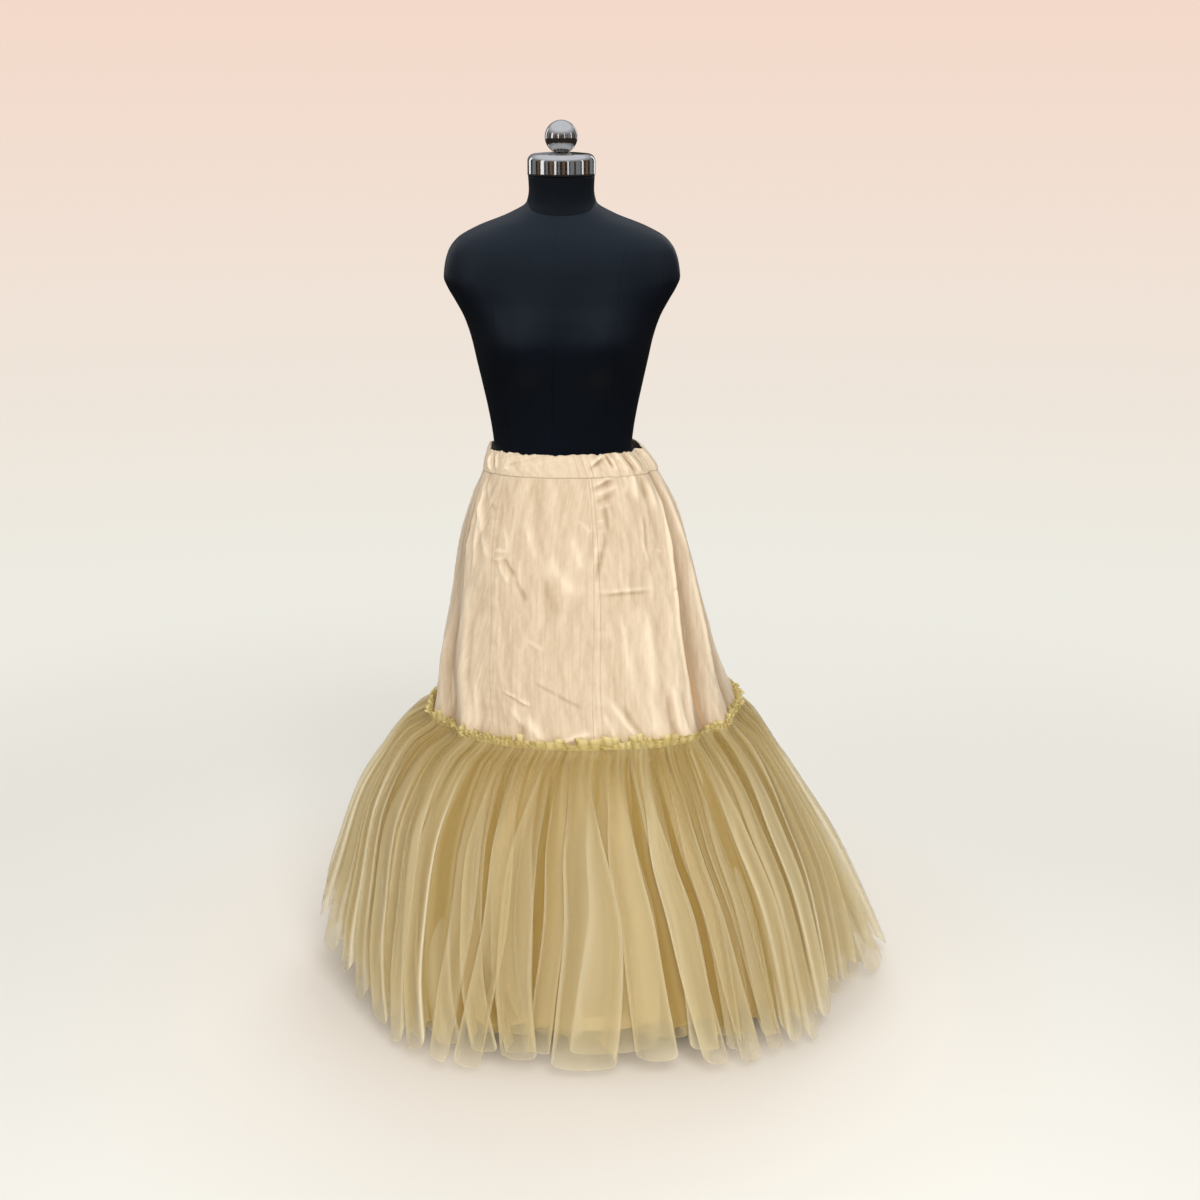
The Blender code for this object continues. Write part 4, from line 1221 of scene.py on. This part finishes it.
def net_sheet(layer, finish):
    """One sheet of net. Round the skirt a fold goes as a flattened cosine, broad at its crest, and the
    cloth slides sideways by a sine of the fold's phase and a larger one of twice it, so that a crest is a
    flat panel whose two edges turn back over the gaps beside it. The folds are unevenly wide, grow out of
    fine gathers, drift sideways and end in petals. The field fold_edge is highest where a panel's edge
    turns back, and the finish paints it as a highlight. The field crest runs from 0 in a gap to 1 on a
    panel, is lower in the tucks under the seam, and the finish paints shade by it."""
    folds, seed = layer.folds, layer.seed
    place = fold_places(folds, layer.points_each)
    chance = np.random.default_rng(layer.chance)
    uneven = uneven_along(place, folds, LEAST_SWING, chance)
    share = drop_shares(NET_ROWS, 1.45)
    opened, swing, out = hang(layer, share)
    grown = np.clip(share / PANELS_WITHIN, 0.0, 1.0)
    grown = grown * grown * (3 - 2 * grown)
    crowd = layer.turned + NET_CROWDS * wander(place, seed, folds)
    narrow = np.gradient(place + crowd, axis=1) * layer.points_each
    phase = 2 * math.pi * (place + crowd)
    slide = layer.overhang * (1.0 + 0.55 * wander(place, seed + 1, folds)) * grown
    lean = PANEL_LEAN * grown
    slid = lean * np.sin(phase) + slide * np.sin(2 * phase)
    drift = NET_DRIFTS * wander(place / 2.0, seed + 2, folds // 2) * share * share
    drift = drift + NET_SWAYS * wander(place, seed + 3, folds) * np.sin(math.pi * share)
    shifted = place + slid / np.clip(narrow, 0.6, 2.0) + drift
    degrees = gathered_angles(folds, shifted, UNEVEN_FOLDS, layer.phase)
    still = gathered_angles(folds, place, UNEVEN_FOLDS, layer.phase)
    hem = hem_height(still, layer, place, place + crowd, chance)
    hem = hem + HEM_STEP * (1.0 + wander(place, seed + 4, folds))
    hem = hem + HEM_NICK * wander(place * 3.0, seed + 9, folds * 3)
    hem = hem + HEM_SLANT * np.sin(phase) * wander(place, seed + 11, folds)
    height = FLOUNCE_TOP + (hem - FLOUNCE_TOP) * share
    crest = np.tanh(1.3 * np.cos(phase) + 0.25) / math.tanh(1.55)
    second = SECOND_FOLD_DEPTH * np.sin(math.pi * np.clip(share / 0.95, 0, 1))
    second = second * wander(place * 2.0, seed + 5, folds * 2)
    crinkle = CRINKLE_DEPTH * wander(place * 8.0 + drift, seed + 10, folds * 8) * (1.0 - share)
    knots = wander(place, seed + 6, folds)
    gathers = NET_GATHER_DEPTH * np.exp(-share / 0.13) * np.cos(8 * math.pi * place + 2.0 * knots)
    gathers = gathers * (0.6 + 0.4 * wander(place * 4.0, seed + 7, folds * 4))
    gathers = gathers + NET_GATHER_DEPTH * np.exp(-share / 0.26) * np.cos(4 * math.pi * place + 3.0 * knots)
    bulge = layer.bulge * bulge_reach(degrees, height)
    out = out + swing * uneven * crest + (second + crinkle + gathers) * opened + bulge
    points = skirt_points(degrees, height, out)
    turning = 1 + 2 * math.pi * lean * np.cos(phase) + 4 * math.pi * slide * np.cos(2 * phase)
    edge = np.exp(-((turning / 1.1) ** 2)) * np.clip(np.cos(phase) * 4 + 0.5, 0.0, 1.0) * grown
    edge = edge * (0.65 + 0.35 * wander(place * 2.0, seed + 8, folds * 2))
    # painted shade: crest is dark in the gaps and on shallow folds and pale on the panels
    deep = 0.5 + 0.5 * crest * (0.55 + 0.45 * uneven) * np.clip(share * 4.0, 0.25, 1.0)
    streak = 0.5 + 0.34 * wander(place * 9.0 + 0.6 * share, seed + 12, folds * 9)
    streak = streak + 0.22 * wander(place * 3.0, seed + 13, folds * 3) * (1.2 - share)
    # painted shade in the tucks of the gathers under the seam
    tucked = 0.5 - 0.5 * np.cos(8 * math.pi * place + 2.0 * knots)
    deep = deep - 0.55 * np.exp(-share / 0.22) * tucked * opened
    from_hem = (1 - share) * (FLOUNCE_TOP - hem)
    fields = {"from_hem": from_hem, "fold_edge": edge, "crest": deep, "streak": streak}
    obj = surface(layer.name, points, finish, around=True, flat=cloth_places(points), fields=fields)
    finish_piece(obj, layer.solid)


def frill(name, finish, seed, clear, height_share, ripples):
    """The net's raw upper edge: small uneven ruffles above the seam whose crests overhang each other,
    with an edge that curls outwards and is cut unevenly."""
    place = fold_places(ripples, FRILL_POINTS_EACH)
    level = np.linspace(0.0, 1.0, 8)[:, None]
    phase = 2 * math.pi * (place + 0.22 * wander(place, seed, ripples))
    tall = FRILL_HEIGHT * height_share * (0.84 + 0.26 * wander(place / 2, seed + 1, ripples // 2))
    tall = tall * (1.0 + 0.22 * wander(place * 2, seed + 7, ripples * 2))
    curl = 0.5 + 0.5 * wander(place, seed + 2, ripples)
    slide = (0.08 + 0.20 * level) * (1.0 + 0.6 * wander(place, seed + 3, ripples))
    degrees = gathered_angles(ripples, place + slide * np.sin(phase), UNEVEN_GATHERS, 2.2)
    height = SEAM_HEIGHT - FRILL_FOOT_DEPTH + tall * (level - 0.42 * curl * level**3)
    height = height + 0.0016 * level * wander(place * 3, seed + 6, ripples * 3)
    deep = (0.0012 + 0.0078 * level**0.8) * (0.75 + 0.45 * wander(place / 2, seed + 4, ripples // 2))
    lean = 0.0015 * level + 0.0058 * curl * level**2
    crinkle = 0.0012 * level * wander(place * 3.0 + level * 2.0, seed + 5, ripples * 3)
    out = clear + lean + deep * (0.5 + 0.5 * np.cos(phase)) + crinkle
    points = skirt_points(degrees, height, out)
    flat = cloth_places(points[::-1])[::-1]
    fields = {
        "from_hem": (1 - level) * FRILL_HEIGHT * np.ones_like(place),
        # painted highlight on the ripples' crests, and painted shade by crest in their troughs
        "fold_edge": 0.7 * np.clip(np.cos(phase), 0, 1) * level,
        "crest": 0.5 + 0.5 * np.cos(phase) * level,
        "streak": 0.5 + 0.4 * wander(place * 3.0, seed + 8, ripples * 3),
    }
    obj = surface(name, points, finish, around=True, flat=flat, fields=fields)
    finish_piece(obj, "heading_frill")


# The stage

FLOOR_REACH = 2.45
FLOOR_FADE = 1.45
FAR_COLOUR = (0.845, 0.83, 0.76, 1.0)
TOP_COLOUR = (0.905, 0.69, 0.58, 1.0)

# Round area lights: name, place, what it faces, size across and watts
LIGHTS = [
    ("key", (0.6, -2.8, 3.0), (0.05, 0.0, 0.85), 1.9, 80.0),
    ("fill", (-2.4, -1.9, 2.2), (0.0, 0.0, 0.8), 2.4, 12.0),
    ("low", (0.1, -2.9, 0.55), (0.0, -0.3, 0.05), 1.6, 14.0),
    ("back", (0.3, 2.8, 2.8), (0.0, 0.4, 0.4), 2.6, 40.0),
]

# Cards round the pole that the chrome shows as streaks: the middle and width of each in degrees
Card = namedtuple("Card", "turn width shade")
CARDS = [
    Card(-165, 26, "grey"), Card(-132, 14, "white"), Card(-104, 18, "grey"), Card(-82, 8, "brown"),
    Card(-66, 13, "white"), Card(-49, 7, "grey"), Card(-33, 9, "brown"), Card(-19, 6, "white"),
    Card(-7, 5, "grey"), Card(9, 8, "brown"), Card(24, 4, "white"), Card(38, 14, "grey"),
    Card(60, 18, "grey"), Card(78, 6, "white"), Card(97, 12, "brown"), Card(124, 20, "grey"),
    Card(152, 12, "white"),
]
CARD_REACH = 3.4
CARD_HEIGHTS = (1.1, 2.9)
CARD_SHADES = {"white": (1.35, 1.36, 1.38), "grey": (0.24, 0.25, 0.27), "brown": (0.20, 0.12, 0.07)}


def stage():
    """Plain pale floor that fades into a plain pale backdrop, soft light from the front, the left and
    behind that nothing mirrors, and cards that show only in reflections."""
    mesh = bpy.data.meshes.new("floor")
    corners = [(x * FLOOR_REACH, y * FLOOR_REACH, 0) for x, y in ((-1, -1), (1, -1), (1, 1), (-1, 1))]
    mesh.from_pydata(corners, [], [(0, 1, 2, 3)])
    mesh.materials.append(floor_finish())
    floor = bpy.data.objects.new("floor", mesh)
    bpy.context.scene.collection.objects.link(floor)
    floor.visible_glossy = False
    backdrop()
    for light in LIGHTS:
        add_light(*light)
    finishes = {name: card_finish(name, *shade) for name, shade in CARD_SHADES.items()}
    for number, card in enumerate(CARDS):
        add_card(f"card_{number}", card.turn, card.width, finishes[card.shade])


def backdrop():
    """What a ray sees past the floor: the camera a pale cream that warms upwards, reflections a dark
    room that is bright overhead, and everything else an even warm white."""
    world = bpy.data.worlds.new("studio")
    bpy.context.scene.world = world
    recipe = Recipe(world)
    up = recipe.part_of(recipe.node("ShaderNodeTexCoord", output="Generated"), "Z")
    seen = recipe.node("ShaderNodeLightPath", output="Is Camera Ray")
    glossy = recipe.node("ShaderNodeLightPath", output="Is Glossy Ray")
    wall = recipe.mixed(up * 3.2 + 0.86, FAR_COLOUR, TOP_COLOUR)
    room = recipe.mixed(up * 1.9 - 0.32, colour(0.030, 0.026, 0.024), colour(0.80, 0.83, 0.90))
    light = recipe.mixed(glossy, colour(0.52, 0.505, 0.48), room)
    shown = recipe.mixed(seen, light, wall)
    recipe.done(recipe.node("ShaderNodeBackground", values={"Color": shown, "Strength": 1.0}))


def card_finish(name, red, green, blue):
    recipe = Recipe(bpy.data.materials.new("card_" + name))
    glow = recipe.node("ShaderNodeEmission", values={"Color": colour(red, green, blue), "Strength": 1.0})
    return recipe.done(glow)


def add_card(name, turn, width, finish):
    """An upright card round the pole, seen only in reflections."""
    angle = np.radians(np.array([turn - width / 2, turn + width / 2]))
    x, y = CARD_REACH * np.sin(angle), -CARD_REACH * np.cos(angle)
    mesh = bpy.data.meshes.new(name)
    low, high = CARD_HEIGHTS
    corners = [(x[0], y[0], low), (x[1], y[1], low), (x[1], y[1], high), (x[0], y[0], high)]
    mesh.from_pydata(corners, [], [(0, 1, 2, 3)])
    mesh.materials.append(finish)
    obj = bpy.data.objects.new(name, mesh)
    bpy.context.scene.collection.objects.link(obj)
    obj.visible_camera = False
    obj.visible_diffuse = False
    obj.visible_transmission = False
    obj.visible_shadow = False


def add_light(name, place, target, size, power):
    light = bpy.data.lights.new(name, "AREA")
    light.shape = "DISK"
    light.size = size
    light.energy = power
    obj = bpy.data.objects.new(name, light)
    obj.location = place
    obj.rotation_euler = (Vector(target) - Vector(place)).to_track_quat("-Z", "Y").to_euler()
    obj.visible_glossy = False
    bpy.context.scene.collection.objects.link(obj)


def camera():
    view = bpy.data.cameras.new("photo_view")
    view.lens = LENS
    view.sensor_width = 36.0
    obj = bpy.data.objects.new("photo_view", view)
    obj.location = CAMERA_PLACE
    obj.rotation_euler = (math.radians(CAMERA_TILT), 0.0, 0.0)
    bpy.context.scene.collection.objects.link(obj)
    bpy.context.scene.camera = obj


def main():
    camera()
    bpy.context.scene.view_settings.view_transform = "Standard"
    bpy.context.scene.cycles.transparent_max_bounces = NET_LAYERS_SEEN_THROUGH
    torso(covering_finish())
    fittings(chrome_finish(), stand_finish())
    cotton = cotton_finish()
    casing(cotton)
    for place in range(len(GORE_SEAMS)):
        gore(place, cotton)
    lining(lining_finish())
    cream = colour(1.0, 0.955, 0.79)
    under = net_finish("net_under", colour(0.38, 0.262, 0.075), colour(0.79, 0.65, 0.34), 0.38, cream)
    top = net_finish("net", colour(0.42, 0.30, 0.095), colour(0.90, 0.79, 0.50), 0.34, cream)
    raw_edge = net_finish(
        "net_raw_edge", colour(0.46, 0.35, 0.10), colour(0.86, 0.755, 0.38), 0.74, colour(0.92, 0.84, 0.50)
    )
    for layer, net in zip(NETS, (under, top, top)):
        net_sheet(layer, net)
    frill("frill_outer", raw_edge, 300, 0.0040, 1.0, FRILL_RIPPLES)
    frill("frill_inner", raw_edge, 320, 0.0018, 1.15, FRILL_RIPPLES - 14)
    stage()


main()
